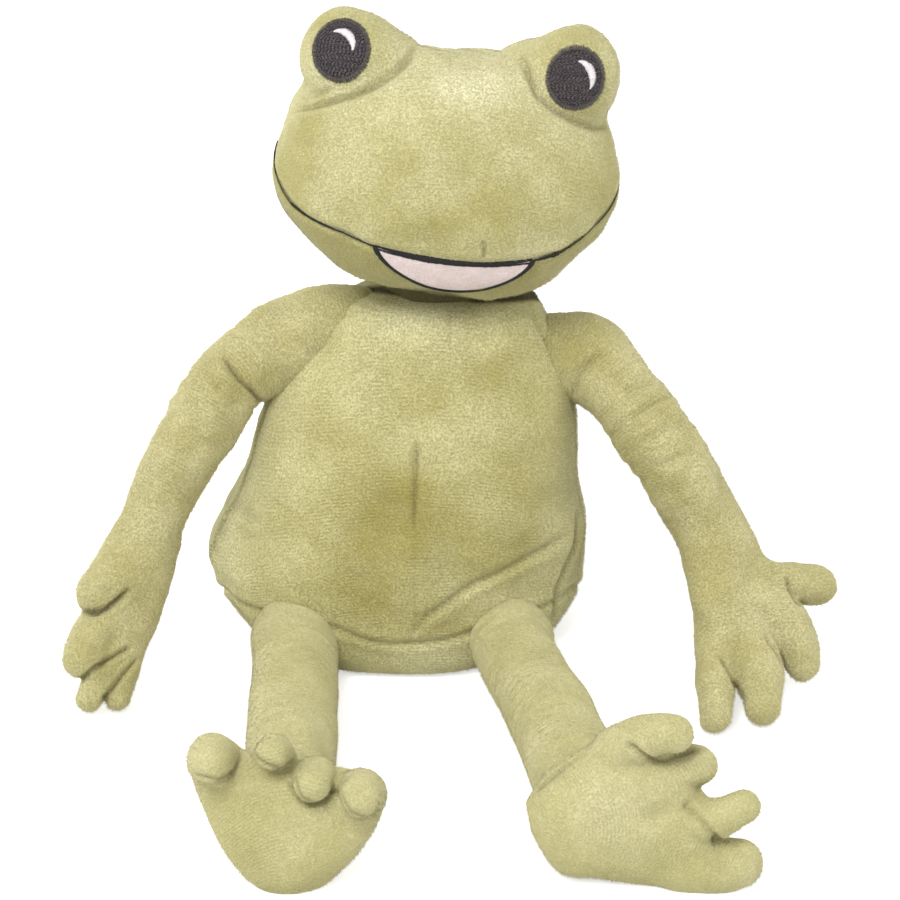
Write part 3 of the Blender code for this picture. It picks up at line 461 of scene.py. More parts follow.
def pile_tree():
    """Fibres over a skin, fewer between its knit rows, each with a tone and the skin's own normal."""
    tree, given, out = new_tree(
        "plush_pile", "GeometryNodeTree",
        (("Skin", "Geometry", None), ("Density", "Float", 1.0), ("Length", "Float", 1.0),
         ("Width", "Float", 1.0),
         ("Nap", "Vector", (0, 0, -1)), ("Unrest", "Float", 0.5), ("Ribbing", "Float", 0.5),
         ("Seed", "Int", 1),
         ("Finish", "Material", None)),
        (("Pile", "Geometry"),))

    def named(key):
        return wire(tree, "GeometryNodeInputNamedAttribute", {"data_type": "FLOAT"}, Name=key).outputs[0]

    def chance(kind, seed, **inputs):
        return wire(tree, "FunctionNodeRandomValue", {"data_type": kind}, Seed=seed, **inputs).outputs

    def stored(base, kind, key, value):
        return wire(tree, "GeometryNodeStoreNamedAttribute", {"data_type": kind, "domain": "INSTANCE"},
                    Geometry=base, Name=key, Value=value).outputs[0]

    seed = given["Seed"]
    spread = wire(tree, "GeometryNodeDistributePointsOnFaces", {"distribute_method": "RANDOM"},
                  Mesh=given["Skin"], Seed=seed,
                  Density=maths(tree, "MULTIPLY", given["Density"], named("cover")))
    stray = chance("FLOAT_VECTOR", seed, Min=(-1, -1, -1), Max=(1, 1, 1))[0]
    wild = vector(tree, "SCALE", i0=stray, Scale=given["Unrest"])
    lean = vector(tree, "ADD", i0=spread.outputs["Normal"], i1=given["Nap"])
    way = vector(tree, "ADD", i0=lean, i1=wild)
    turn = wire(tree, "FunctionNodeAlignRotationToVector", {"axis": "Z"}, Vector=way).outputs[0]
    half = maths(tree, "MULTIPLY", given["Width"], 0.5)
    fibre = wire(tree, "GeometryNodeMeshCone", {"fill_type": "NGON"}, Vertices=3, Radius_Top=0.0,
                 Radius_Bottom=half, Depth=given["Length"])
    wave = maths(tree, "SINE", maths(tree, "MULTIPLY", named("rows"), 2 * math.pi / KNIT_PITCH))
    ribbed = maths(tree, "MULTIPLY", maths(tree, "MULTIPLY", wave, given["Ribbing"]), 0.5)
    stands = chance("FLOAT", maths(tree, "ADD", seed, 3))[1]
    on_row = maths(tree, "LESS_THAN", stands, maths(tree, "SUBTRACT", 0.5, ribbed))
    stand = wire(tree, "GeometryNodeInstanceOnPoints", Points=spread.outputs[0],
                 Instance=fibre.outputs["Mesh"],
                 Rotation=turn, Scale=chance("FLOAT", seed, i2=0.55, i3=1.15)[1], Selection=on_row)
    toned = stored(stand.outputs[0], "FLOAT", "tone", chance("FLOAT", maths(tree, "ADD", seed, 7))[1])
    laid = stored(toned, "FLOAT_VECTOR", "lie", spread.outputs["Normal"])
    real = wire(tree, "GeometryNodeRealizeInstances", Geometry=laid)
    finished = wire(tree, "GeometryNodeSetMaterial", Geometry=real.outputs[0], Material=given["Finish"])
    feed(tree, out, Pile=finished.outputs[0])
    return tree


def grown(tree, name, base, values):
    """The result of a Geometry Nodes tree on a copy of a mesh, as a plain mesh."""
    holder = placed(name + "_base", base)
    step = holder.modifiers.new("grow", "NODES")
    step.node_group = tree
    names = {slot.name: slot.identifier for slot in tree.interface.items_tree
             if slot.item_type == "SOCKET" and slot.in_out == "INPUT"}
    for key, value in values.items():
        step[names[key]] = value
    graph = bpy.context.evaluated_depsgraph_get()
    data = bpy.data.meshes.new_from_object(holder.evaluated_get(graph))
    data.name = name
    holder.modifiers.remove(step)
    bpy.data.objects.remove(holder)
    return placed(name, data)


PILE = pile_tree()


def pile_on(piece, name, look, seed, nap, length=1.25, width=0.17, ribbing=0.5):
    """Short fibres on a piece: about half of the places that the density gives stay bare."""
    return grown(PILE, name, piece.data, {
        "Density": PILE_PER_MM2 * 1e6, "Length": length * MM, "Width": width * MM, "Nap": nap, "Unrest": 0.35,
        "Ribbing": ribbing, "Seed": seed, "Finish": look})


# Torso

# Rows of the body's sections, as height, left, right, front and back
BODY = (
    (0.0, -49, 47.5, -46, 40), (3.0, -61, 56.5, -50.3, 46), (8.0, -68, 61.7, -52.6, 49),
    (15, -72.6, 66, -53.4, 51),
    (25, -76.8, 68.6, -53.2, 52), (35, -78.5, 69.2, -52.6, 52.5), (46, -74.3, 69, -51.5, 52.5),
    (58, -68.2, 66.8, -50, 51.5), (72, -62.6, 65.8, -47, 50.5), (86, -58.0, 64.6, -42.5, 48.5),
    (98, -55, 63.5, -38, 46.5), (110, -48.5, 61, -32.5, 44), (121, -40, 56.8, -27.5, 41),
    (130, -31.5, 52.6, -23, 38),
    (136, -23, 48.8, -18.5, 34), (139.5, -13, 43, -13.5, 29), (141.5, 0, 32, -6, 23),
)
BASE_SEAM_Z = 16.0
SIDE_SEAM = ((10, 24, 40, 52, 70, 110), (-17, -16, -13, -9, -9, -9))
BACK_SEAM = ((0, 37, 62, 86, 105, 139), (0, -4, -2, 1, 5.5, 15))
# Creases as (line, width, depth, rolls beside it, shade, roll on its right)
DART = ((4.0, 70), (3.3, 59), (2.9, 47.8), (2.8, 36.5))
BODY_CREASES = (
    (DART, 1.4, 1.6, 0.3, 0.25, 0.0),
    (((2.8, 42), (2.7, 17.1), (2.6, -2.5)), 0.7, 0.3, 0.3, 0.1, 0.0),
    (((0.6, -4), (6.5, 2.9), (14.1, 7.6), (25.5, 15.4), (40.5, 23.1), (51.7, 28.9), (60, 33)),
     1.7, 1.7, 0, 0.3, 1.8),
    (((65.2, 43), (64.5, 29.7), (59.8, 19.7), (57.4, 11.7), (57.2, 5.7), (55.7, -1)),
     1.0, 1.6, 0.3, 0.35, 0.0),
    (((15.6, 119), (15.6, 104.5)), 0.8, 0.6, 0.3, 0.15, 0.0),
    (((8.6, 101.8), (23.4, 98.1), (32.8, 92.6)), 4.5, 0.9, 0.0, 0.0, 0.0),
    (((-70, 46), (-62, 40), (-56, 38)), 2.0, 0.7, 0.3, 0.1, 0.0),
    (((-68, 38), (-61, 33), (-55, 33)), 2.0, 0.6, 0.3, 0.1, 0.0),
    (((55, 98), (50, 92), (48, 84)), 3.0, 0.8, 0.3, 0.0, 0.0),
)
BODY_DENTS = (
    (((4.5, -46, 88), (3.5, -49, 68)), 9, 1.4),
    (((-6, -50, 74), (-8, -51, 60)), 9, 1.8),
    (((-20, -24, 128), (-4, -32, 119), (12, -33, 118)), 11, 1.6),
    (((-2, -36, 108), (-6, -44, 92)), 10, 1.0),
    (((-66, -24, 52), (-58, -34, 40)), 12, 1.6),
    (((-64, -22, 28), (-60, -24, 14)), 9, 1.2),
    (((45, -40, 28), (62, -24, 22)), 9, 1.2),
)
# Where the collar meets the chin's shadow, as it is seen
COLLAR_EDGE = ((-26, 128.5), (-16, 127.2), (-4, 125.6), (9.5, 124), (16, 123.2), (28, 122), (36, 121.4),
               (42, 122),
               (50, 123.5))
# Patches of brushed pile and of painted light and shade, as x and height as seen, half widths and strength
BODY_BRUSH_AND_LIGHT = (
    (10, 110, 36, 9, 0.6), (-3, 36, 18, 22, -0.9), (-30, 12, 26, 13, -0.6), (44, 36, 14, 20, -0.3),
    (10, -14, 30, 8, 0.9), (-74, 32, 11, 30, 0.9), (66, 50, 12, 40, 0.5), (5, 84, 12, 7, -0.5),
    (-22, 88, 16, 16, 0.2), (34, 12, 20, 6, 0.4), (8, 118, 26, 5, 0.5), (20, -2, 14, 5, -0.5),
    (-22, 62, 20, 8, 0.2),
    (-30, 112, 6, 8, -0.5), (-34, 84, 5, 16, -0.3), (32, 96, 8, 8, -0.4),
)


def torso_field(points):
    return stack(points, BODY, 2.25)


def torso_shape(points, normals):
    """The body's seams, dart and folds as moves along its normals, and the shade painted at each place."""
    x, y, z = points.T
    front, back = np.clip(-normals[:, 1] * 2.5, 0, 1), np.clip(normals[:, 1] * 2.5, 0, 1)
    sides = np.clip(np.abs(normals[:, 0]) * 3 - 1, 0, 1)
    on_wall, off_floor = np.clip((z - 15) / 4, 0, 1), np.clip(z / 12, 0, 1)
    wave = 1.6 + 5 * np.clip(np.abs(x - 1) / 27, 0, 1.1) ** 2
    wave += 0.5 * np.sin(x / 9 + 1.2) + 0.4 * np.sin(x / 4.2 + 1)
    base = np.abs(z - BASE_SEAM_Z - wave * front)
    move, shade = creases(points, normals, BODY_CREASES)
    move += seam(base, 1.3, 1.4, 0.5, 3, 2) + dents(points, BODY_DENTS)
    move += sides * on_wall * seam(np.abs(y - np.interp(z, *SIDE_SEAM)), 1.3, 1.3, 0.5, 3, 1.6)
    move += back * on_wall * seam(np.abs(x - np.interp(z, *BACK_SEAM)), 1.3, 1.3, 0.5, 3, 1.6)
    move += (lumps(points, 34, 3) * 0.65 + lumps(points, 13, 4) * 0.2) * off_floor
    # Painted shadow under the chin above the collar's edge, and painted shade along the base seam
    places = seen(points)
    above = places[:, 1] - np.interp(places[:, 0], *zip(*COLLAR_EDGE), left=1e3, right=1e3)
    under_chin = 0.97 * np.clip((above + 0.9) / 1.3, 0, 1) * np.clip((14 - y) / 4, 0, 1)
    return move, np.maximum.reduce([0.12 * np.exp(-base ** 2), shade, under_chin])


# Head, in its own frame, facing -Y

HEAD_PLACE = np.array(((0.99678, -0.0194, 0.07782, 14.92), (0.0, 0.9703, 0.24192, 1.73),
                       (-0.0802, -0.24114, 0.96717, 189.08)))
HEAD = (
    (-45.8, -5, 5, -7, 6), (-44.6, -16, 15.5, -16, 13), (-42.6, -26.4, 25.8, -22.5, 19),
    (-38.4, -37.6, 40, -29.5, 27), (-29.6, -49.3, 49.3, -36.5, 33), (-17.2, -59.9, 59.4, -42, 37),
    (-2.9, -64.1, 63.5, -43, 39),
    (11.5, -61.5, 61.2, -41, 39), (23.3, -57.4, 57, -37, 37), (34, -50, 47.4, -30.5, 31.5),
    (40.8, -38, 38, -21, 23), (43.8, -24, 24, -12, 14), (44.7, -10, 10, -5, 6),
)
DOMES = {"right": (-38.7, -13.5, 39.7), "left": (43.6, -13.4, 39.0)}
DOME_SIZES = {"right": (18.2, 17.8, 17.9), "left": (16.0, 17.0, 18.6)}
# Where each dome runs down into the top of the head: its middle and sizes
FLARES = {"right": ((-28.3, 0, 37.0), (18.5, 22, 13)), "left": ((33.3, 0, 38.3), (19.5, 22, 13))}
MOUTH_SLOPE = 0.80
# The seam's height over that slope, by degrees round the head from its front
SMILE_BEND = ((-110, 3), (-84, 5), (-78, 3.4), (-71, 1.2), (-61, 2.6), (-48, 4.2), (-36, 2.6), (-20, 1.6),
              (-8, 0.7),
              (14, -0.2), (34, -1.4), (47, -2.7), (57, -2.8), (64, 0.8), (69, 3.2), (80, 4.4), (110, 3))
HEAD_CREASES = (
    (((-41, 190), (-29.3, 191.2), (-19.9, 192.8), (-11.9, 196.2), (-3.6, 201.9), (1.5, 207.5), (3.2, 213)),
     1.3, 1.8, 0.35, 0.35, 0.0),
    (((42.0, 210), (45.0, 199.9), (47.6, 194.2), (54.1, 188.8), (61.8, 184.7), (69.0, 183.3), (75, 185.8)),
     1.2, 1.8, 0.35, 0.35, 0.0),
    (((-38.5, 194.5), (-32, 194.6), (-25.5, 196)), 1.2, 0.8, 0.3, 0.2, 0.0),
    (((27.9, 142), (28.3, 136)), 0.8, 0.9, 0.5, 0.35, 0.0),
    (((16, 214), (16.5, 190)), 0.7, 0.3, 0.3, 0.1, 0.0),
)
HEAD_SEAM_Y = 6.56
HEAD_DENTS = ((((21, -18, -46), (36, -13, -44)), 6.5, -2.2), (((-24, -22, -43), (2, -22, -46)), 8, 1.5))
# Patches of brushed pile and of painted light and shade on the head, as on the body
HEAD_BRUSH_AND_LIGHT = (
    (16, 198, 34, 11, 0.6), (14, 147, 34, 11, -0.75), (20, 166, 46, 9, -0.3), (-38, 226, 22, 16, -0.9),
    (60, 222, 22, 14, -0.5), (-46, 166, 12, 26, -0.9), (76, 166, 12, 26, -0.8), (-30, 178, 14, 14, -0.3),
)


def to_head(points):
    return (points - HEAD_PLACE[:, 3]) @ HEAD_PLACE[:, :3]


def from_head(points):
    return points @ HEAD_PLACE[:, :3].T + HEAD_PLACE[:, 3]


def head_field(points):
    made = stack(points, HEAD, 2.2)
    for name, place in DOMES.items():
        dome = ball(points, place, DOME_SIZES[name])
        flare = ball(points, *FLARES[name])
        back = ball(points, (place[0] + (-2 if name == "left" else 2), 7, 31), (17, 21, 16))
        made = melt(made, melt(melt(dome, back, 8), flare, 7), 3)
    return made


def smile_bend(turn):
    """How far the mouth's seam lies above its plane, by the turn round the head."""
    return np.interp(np.degrees(turn), *zip(*SMILE_BEND))


def smile_depth(points):
    """How far above the mouth's seam a point is, in the head's frame."""
    bend = smile_bend(np.arctan2(points[:, 0], -points[:, 1]))
    return (points[:, 2] - MOUTH_SLOPE * points[:, 1] - bend) / math.hypot(1, MOUTH_SLOPE)


def away_from_sewing(points):
    """0 where an eye or the mouth is sewn on, 1 well away from them."""
    made = np.ones(len(points))
    for name in DOMES:
        centre, way = eye_place(name)
        off = points - centre
        ring = np.linalg.norm(np.cross(off, way), axis=1) - EYE_SIZE
        made = np.minimum(made, np.where(off @ way > 0, np.clip((ring + 0.3) / 2.5, 0, 1), 1))
    turn, drop = mouth_place(points)
    outside = np.maximum((turn - 1) * 30, np.maximum(-drop - 0.5, drop - mouth_drop(turn) - 0.8))
    return np.minimum(made, np.where(points[:, 1] < 0, np.clip((outside + 0.2) / 2.5, 0, 1), 1))


def head_shape(points, normals):
    """The head's seams and folds as moves along its normals, the shade painted at each place, and where pile
    grows.
    """
    x, y, z = points.T
    to_smile, below = np.abs(smile_depth(points)), np.clip(-smile_depth(points) / 3, 0, 1)
    ahead, behind = np.clip((HEAD_SEAM_Y - y) / 2, 0, 1), np.clip(normals[:, 1] * 3, 0, 1)
    level = np.clip(np.abs(normals[:, 0]) + np.abs(normals[:, 2]), 0, 1)
    move, shade = creases(from_head(points), normals @ HEAD_PLACE[:, :3].T, HEAD_CREASES)
    move += ahead * seam(to_smile, 0.7, 1.2, 0.45, 3.5, 2.2)
    move += level * seam(np.abs(y - HEAD_SEAM_Y), 0.9, 1.2, 0.4, 3, 1.6)
    move += behind * seam(np.abs(x), 1.1, 1.2, 0.4, 3, 1.6)
    move += lumps(points, 30, 11) * 0.45 + lumps(points, 12, 12) * 0.16 + dents(points, HEAD_DENTS)
    # Painted shade under the head, beside the mouth's seam and on the chin below it
    under = np.clip((-z - 43.4) / 1.6, 0, 1)
    beside = ahead * 0.3 * np.exp(-(to_smile / 0.9) ** 2)
    painted_shade = np.maximum.reduce([beside, shade, 0.8 * under, 0.14 * below * ahead])
    away = away_from_sewing(points)
    bare = (away <= 0.1) | (ahead * np.exp(-(to_smile / 0.7) ** 2) > 0.6)
    return move * away, painted_shade, np.where(bare, 0, 1)


# Arms

ARM_PATHS = {
    "right": ((-22, 4.5, 127, 13.8), (-33, 3, 124.8, 16.2), (-44.5, 0, 120.2, 15.7), (-55.5, -4, 115.3, 15.5),
              (-66.7, -10.5, 110.0, 14.3), (-75.0, -17, 99.9, 14.6), (-82.8, -21.5, 87.7, 13.6),
              (-91.5, -24, 71.4, 12.7), (-97.8, -26, 57.6, 12.2), (-102, -29, 46.4, 12.1)),
    "left": ((52, 3.5, 113.5, 15.4), (62.0, 2, 113.0, 15.7), (72.6, -4, 111.1, 15.2),
             (83.3, -13, 102.3, 14.0),
             (94.0, -21, 89.9, 14.3), (104.6, -25, 74.3, 14.4), (112.6, -27, 59.4, 13.8),
             (119.6, -31, 46.5, 14.2)),
}
PALMS = {
    "right": ((-102, -29, 46.4, 12.6), (-104.6, -36, 37.5, 14.4), (-106.9, -44, 28.5, 13.2),
              (-108, -51, 23.5, 9.6)),
    "left": ((120.4, -31, 46.8, 15.2), (123.4, -38, 34.5, 18.4), (124.9, -47, 25.5, 17.6),
             (126, -54, 20.5, 12.4)),
}
PALM_THIN = {"right": ((-0.636, 0.636, -0.437), 0.78), "left": ((-0.55, 0.43, -0.72), 0.62)}
FINGERS = {
    "right": (((-106.0, -33, 40, 8.6), (-112.4, -43, 41.0, 9.0), (-118.0, -51.5, 39.4, 7.6)),
              ((-107.5, -42, 31, 9.4), (-114.5, -52, 27, 9.4), (-119.5, -63, 24, 8.2),
               (-121.8, -71, 22, 7.5)),
              ((-106.5, -49, 24, 7.2), (-113.5, -65, 16.5, 6.6), (-119.2, -78.8, 9.0, 5.2)),
              ((-104.3, -47, 22, 6.6), (-107.1, -61, 14, 6.0), (-108.8, -73.6, 7.0, 5.2))),
    "left": (((128.0, -37, 36, 8.6), (143, -34.5, 33.7, 8.1), (158.1, -30, 30.8, 7.9)),
             ((133.0, -42, 30, 10.4), (143.3, -46, 23, 10.3), (148.1, -52.5, 16.2, 8.3),
              (150.2, -56.5, 11.2, 6.6)),
             ((128.3, -52, 22, 9.8), (132.3, -67, 14.4, 9.7), (132.9, -83, 7.6, 6.5)),
             ((118.2, -50, 24, 9.0), (116.1, -70, 14.5, 7.9), (114.6, -88.8, 6.8, 5.5))),
}
ARM_CREASES = {
    "right": (
        (((-69.5, 101.5), (-63.9, 93.4), (-59.0, 89.0), (-54.5, 83)), 1.1, 1.9, 0.4, 0.5, 0.0),
        (((-76, 96), (-70, 89), (-62, 83)), 1.6, 0.6, 0.4, 0.1, 0.0),
        (((-76, 86), (-70, 80), (-66, 77)), 1.6, 0.5, 0.4, 0.1, 0.0),
        (((-105, 14), (-109.3, 9.6), (-113.0, 6.6), (-117.2, 5.0), (-124, 5.4)), 1.1, 2.4, 0.25, 0.7, 0.0),
        (((-104, -7.5), (-111.7, -11.8), (-116.9, -15.2), (-121.3, -18.7), (-127, -22)),
         1.0, 2.0, 0.25, 0.55, 0.0),
        (((-101.5, -12), (-106.4, -17.3), (-109.1, -20.8), (-112.7, -26), (-115, -32)),
         0.9, 1.9, 0.25, 0.5, 0.0)),
    "left": (
        (((74, 104), (68.7, 99.8), (65.1, 95.5), (62.5, 87)), 1.8, 1.3, 0.4, 0.2, 0.0),
        (((80, 88), (88, 90), (94, 93)), 1.6, 0.6, 0.4, 0.08, 0.0),
        (((83, 78), (92, 84), (101, 87)), 1.3, 1.0, 0.5, 0.15, 0.0),
        (((88, 69), (97, 74), (104, 76)), 1.5, 0.7, 0.4, 0.08, 0.0),
        (((93, 60), (101, 64), (108, 66)), 1.5, 0.6, 0.4, 0.08, 0.0),
        (((144.5, 18.5), (145.6, 13.3), (148.5, 8.9), (153, 6.5)), 1.0, 1.4, 0.25, 0.4, 0.0),
        (((116.5, -10), (120.8, -16.5), (122.9, -21.0), (124.8, -25.9), (124.5, -33)),
         0.9, 1.8, 0.25, 0.5, 0.0),
        (((134.5, -3), (138.9, -9.7), (141.6, -14.1), (144.5, -21)), 0.9, 1.8, 0.25, 0.55, 0.0)),
}
SHOULDERS = {"right": (-49.1, 1.9, 118.0), "left": (66.7, 1.7, 113.5)}
SHOULDER_SIZE = 16.5
FINGER_MELT = 2.4
THUMB_MELT = 8.0
ELBOWS = {"right": (-82.1, -20.4, 98.0), "left": (98.5, -23.1, 95.3)}
FOREARM_WAY = {"right": (-0.40, -0.10, -0.91), "left": (0.45, -0.12, -0.89)}

# Patches of brushed pile and of painted light and shade on the arms, as on the body
ARM_BRUSH_AND_LIGHT = {
    "right": ((-52, 96, 12, 8, -0.25), (-98, 40, 16, 16, 0.2), (-76, 70, 8, 30, 0.1)),
    "left": ((62, 104, 12, 14, -0.5), (88, 72, 7, 22, -0.3), (118, 30, 18, 16, 0.1), (140, 0, 18, 16, 0.2)),
}


def arm_field(name):
    arm, palm = curve(ARM_PATHS[name], 4), curve(PALMS[name], 4)
    fingers = [curve(rows, 4) for rows in FINGERS[name]]
    way, thin = PALM_THIN[name]
    flat = np.array(way) / np.linalg.norm(way)

    def field(points):
        made = melt(limb(points, arm), limb(points, palm, flat, thin), 6)
        made = melt(made, ball(points, SHOULDERS[name], (SHOULDER_SIZE,) * 3), 5)
        for k, finger in enumerate(fingers):
            made = melt(made, limb(points, finger), FINGER_MELT if k else THUMB_MELT)
        return np.maximum(made, FLOOR_GAP - points[:, 2])
    return field


# Legs and feet

LEG_PATHS = {
    "right": ((-43.7, -44, 15.8, 16.1), (-42.7, -62, 15.9, 16.0), (-41.9, -85, 16.3, 16.1),
              (-41.2, -110, 17.1, 15.9),
              (-40.5, -135, 18.4, 15.9), (-40.5, -158, 20.2, 15.0)),
    "left": ((39.4, -44, 15.6, 15.1), (42.0, -62, 15.7, 14.9), (47.9, -85, 16.2, 15.2),
             (53.8, -110, 17.5, 15.9),
             (57.9, -135, 19.0, 15.6), (61.6, -156, 20.6, 15.0)),
}
HIPS = {"right": (-43.7, -46.8, 15.8), "left": (39.4, -46.8, 15.6)}
HIP_SIZE = 15.6
ANKLE_SIZE = 14.5
ANKLES = {"right": (-42.1, -163.2, 19.8), "left": (61.8, -161.1, 20.9)}
# A sole's own frame: its middle, and the directions of its toes, its inner side and its face
SOLES = {
    "right": ((-37.7, -177.5, 25.2), (-0.1, 0.29, 0.952), (0.995, 0.001, 0.104), (-0.029, -0.957, 0.289)),
    "left": ((69.7, -176.5, 26.2), (0.977, 0, 0.212), (-0.207, 0.202, 0.957), (-0.043, -0.979, 0.197)),
}
# A sole row is the place along it, its two sides and half its thickness
SOLE_ROWS = {
    "right": ((-29.8, -3, 3, 2.5), (-27.6, -11, 8.5, 6), (-22.5, -17.3, 14.8, 10), (-16.5, -21.1, 21.2, 12),
              (-8.5, -25.1, 27.7, 13), (-2, -27.7, 31, 13), (3.5, -29.2, 32, 12.4), (8, -30.5, 29.6, 11.5),
              (11.5, -31.4, 20, 10.5), (14, -31.9, 9, 9.5), (17, -31.8, 1, 8), (20, -30, -8, 6),
              (23, -26, -17, 2.5)),
    "left": ((-27.3, -2, 6.6, 3), (-26.5, -7, 7.7, 6), (-22.6, -17, 12.0, 10), (-17.4, -21.7, 15.3, 12.3),
             (-8, -25.4, 20, 13), (3, -28.9, 25, 13), (12, -32.4, 27.5, 12.5), (19, -35.2, 25, 11.5),
             (25, -35.8, 17, 10.5), (30, -35, 5, 8.5), (34, -32, -5, 5.5), (36.5, -28, -13, 2.5)),
}
# Toes in the sole's frame: along, inner and out of its face, with the radius
TOES = {
    "right": (((2.5, 24, -2, 8.2), (5.7, 24.8, 7, 8.1), (6.8, 25.2, 14.5, 6.7)),
              ((8, 8.5, -2, 7.4), (11.6, 9.4, 5, 7.2), (12.4, 9.6, 14, 5.9)),
              ((15.5, -3.2, -3, 6.6), (21, -3, 4, 6.3), (23.4, -3, 13, 5.3)),
              ((18, -22.5, -1, 8.6), (21.9, -24.0, 7, 8.3), (22.9, -23.8, 14, 6.9))),
    "left": (((7, 20.3, 3, 8), (15.5, 24.9, 8, 7.5), (22.5, 26.2, 11, 7.1), (26.8, 25.2, 11.5, 6.7)),
             ((15, 5, -2, 9), (25, 7.5, -1, 8.5), (32.3, 8.2, 0, 6.7)),
             ((26, -8, 3, 7.5), (36, -8.8, 6, 6.7), (44.6, -7.3, 5, 5.8)),
             ((20, -25, 0, 11), (31, -28, 1, 10), (39.8, -28.3, 2, 8.2))),
}
# Sole creases in the sole's frame as (line, width, depth, painted shade)
SOLE_CREASES = {
    "right": (
        (((17.8, -30), (15.4, -26.2), (15.2, -22.2), (17.1, -17.5)), 0.9, 1.4, 0.5),
        (((22, -10), (18.6, -6.6), (16.6, -2.5), (17.9, 2)), 0.9, 1.5, 0.55),
        (((11.5, 2.5), (6.7, 4.8), (4.5, 7.9), (5.1, 11.8), (8, 16)), 0.9, 1.4, 0.5),
        (((8, 17.5), (1.7, 20.5), (-1.6, 24.7), (-1.9, 30)), 0.9, 1.4, 0.5),
        (((5, -20), (2, -8), (-3, 2), (-6, 16)), 5.0, 0.7, 0.0)),
    "left": (
        (((12.5, 25), (15.8, 20.8), (18.6, 16.6), (22.5, 14.8), (29.1, 14.6), (34, 15.4)), 1.1, 1.7, 0.45),
        (((26.5, -2), (30.7, -8.2), (33.4, -13.3), (33.9, -17.4)), 1.4, 1.5, 0.25),
        (((33.2, -17), (37.4, -18.1), (40.5, -15.5)), 0.9, 1.0, 0.3),
        (((32.7, -16), (33.1, -26)), 2.0, 0.8, 0.05),
        (((5.8, 31.5), (-4.6, 22.7), (-15.7, 15.8), (-22.6, 11.9), (-28, 10.5)), 1.1, 1.3, 0.3),
        (((14, -1.5), (22, 0), (31.5, 1)), 4.0, 1.1, 0.1)),
}


# Where a toe meets the sole, as it is seen, with the shade painted along it
TOE_CREASES = {
    "right": (
        (((-69.6, -40.1), (-67.3, -41.5), (-60.6, -42.7), (-56.1, -39.9), (-54.0, -36.0)),
         0.8, 0.7, 0.0, 0.45, 0.0),
        (((-49.3, -33.2), (-48.5, -35.1), (-44.5, -37.8), (-39.9, -39.4), (-36.8, -37.8)),
         0.9, 0.8, 0.0, 0.6, 0.0),
        (((-35.4, -41.5), (-34.9, -43.8), (-33, -48.2), (-28.9, -50.6), (-24.7, -49.3), (-22.6, -45)),
         0.8, 0.7, 0, 0.45, 0),
        (((-20.0, -45.8), (-19.0, -48.7), (-16.5, -52.6), (-12.4, -54.8), (-8.6, -56.0)),
         0.8, 0.7, 0.0, 0.45, 0.0)),
    "left": (),
}

# Patches of brushed pile and of painted light and shade on the legs, as on the body
LEG_BRUSH_AND_LIGHT = {
    "right": ((-44, -34, 12, 8, 0.1), (-44, -84, 26, 18, -0.1)),
    "left": ((70, -55, 20, 12, 0.35), (84, -84, 30, 10, 0.1)),
}


def sole_place(points, name):
    middle, toes, inner, face = SOLES[name]
    off = points - np.array(middle)
    return np.stack([off @ np.array(toes), off @ np.array(inner), off @ np.array(face)], 1)


def from_sole(rows, name):
    middle, toes, inner, face = (np.array(v) for v in SOLES[name])
    rows = np.array(rows, float)
    return np.hstack([middle + rows[:, :1] * toes + rows[:, 1:2] * inner + rows[:, 2:3] * face, rows[:, 3:]])


def pad_field(points, name):
    local = sole_place(points, name)
    rows = curve(SOLE_ROWS[name], 8)
    rows = rows[np.argsort(rows[:, 0])]
    low, high, thick = (np.interp(local[:, 0], rows[:, 0], rows[:, k]) for k in (1, 2, 3))
    half = np.maximum((high - low) / 2, 0.5)
    across = np.abs(local[:, 1] - (low + high) / 2) / half
    size = (across ** 2.3 + np.abs(local[:, 2] / thick) ** 2.3) ** (1 / 2.3)
    side = (size - 1) * np.minimum(half, thick)
    return np.maximum(side, np.maximum(rows[0, 0] - local[:, 0], local[:, 0] - rows[-1, 0]))


def leg_field(name):
    leg = curve(LEG_PATHS[name], 4)
    toes = [curve(from_sole(rows, name), 4) for rows in TOES[name]]

    def field(points):
        made = melt(limb(points, leg), ball(points, HIPS[name], (HIP_SIZE,) * 3), 3)
        made = melt(made, ball(points, ANKLES[name], (ANKLE_SIZE,) * 3), 3)
        made = melt(made, pad_field(points, name), 4)
        for toe in toes:
            made = melt(made, limb(points, toe), 1.3)
        return np.maximum(made, FLOOR_GAP - points[:, 2])
    return field


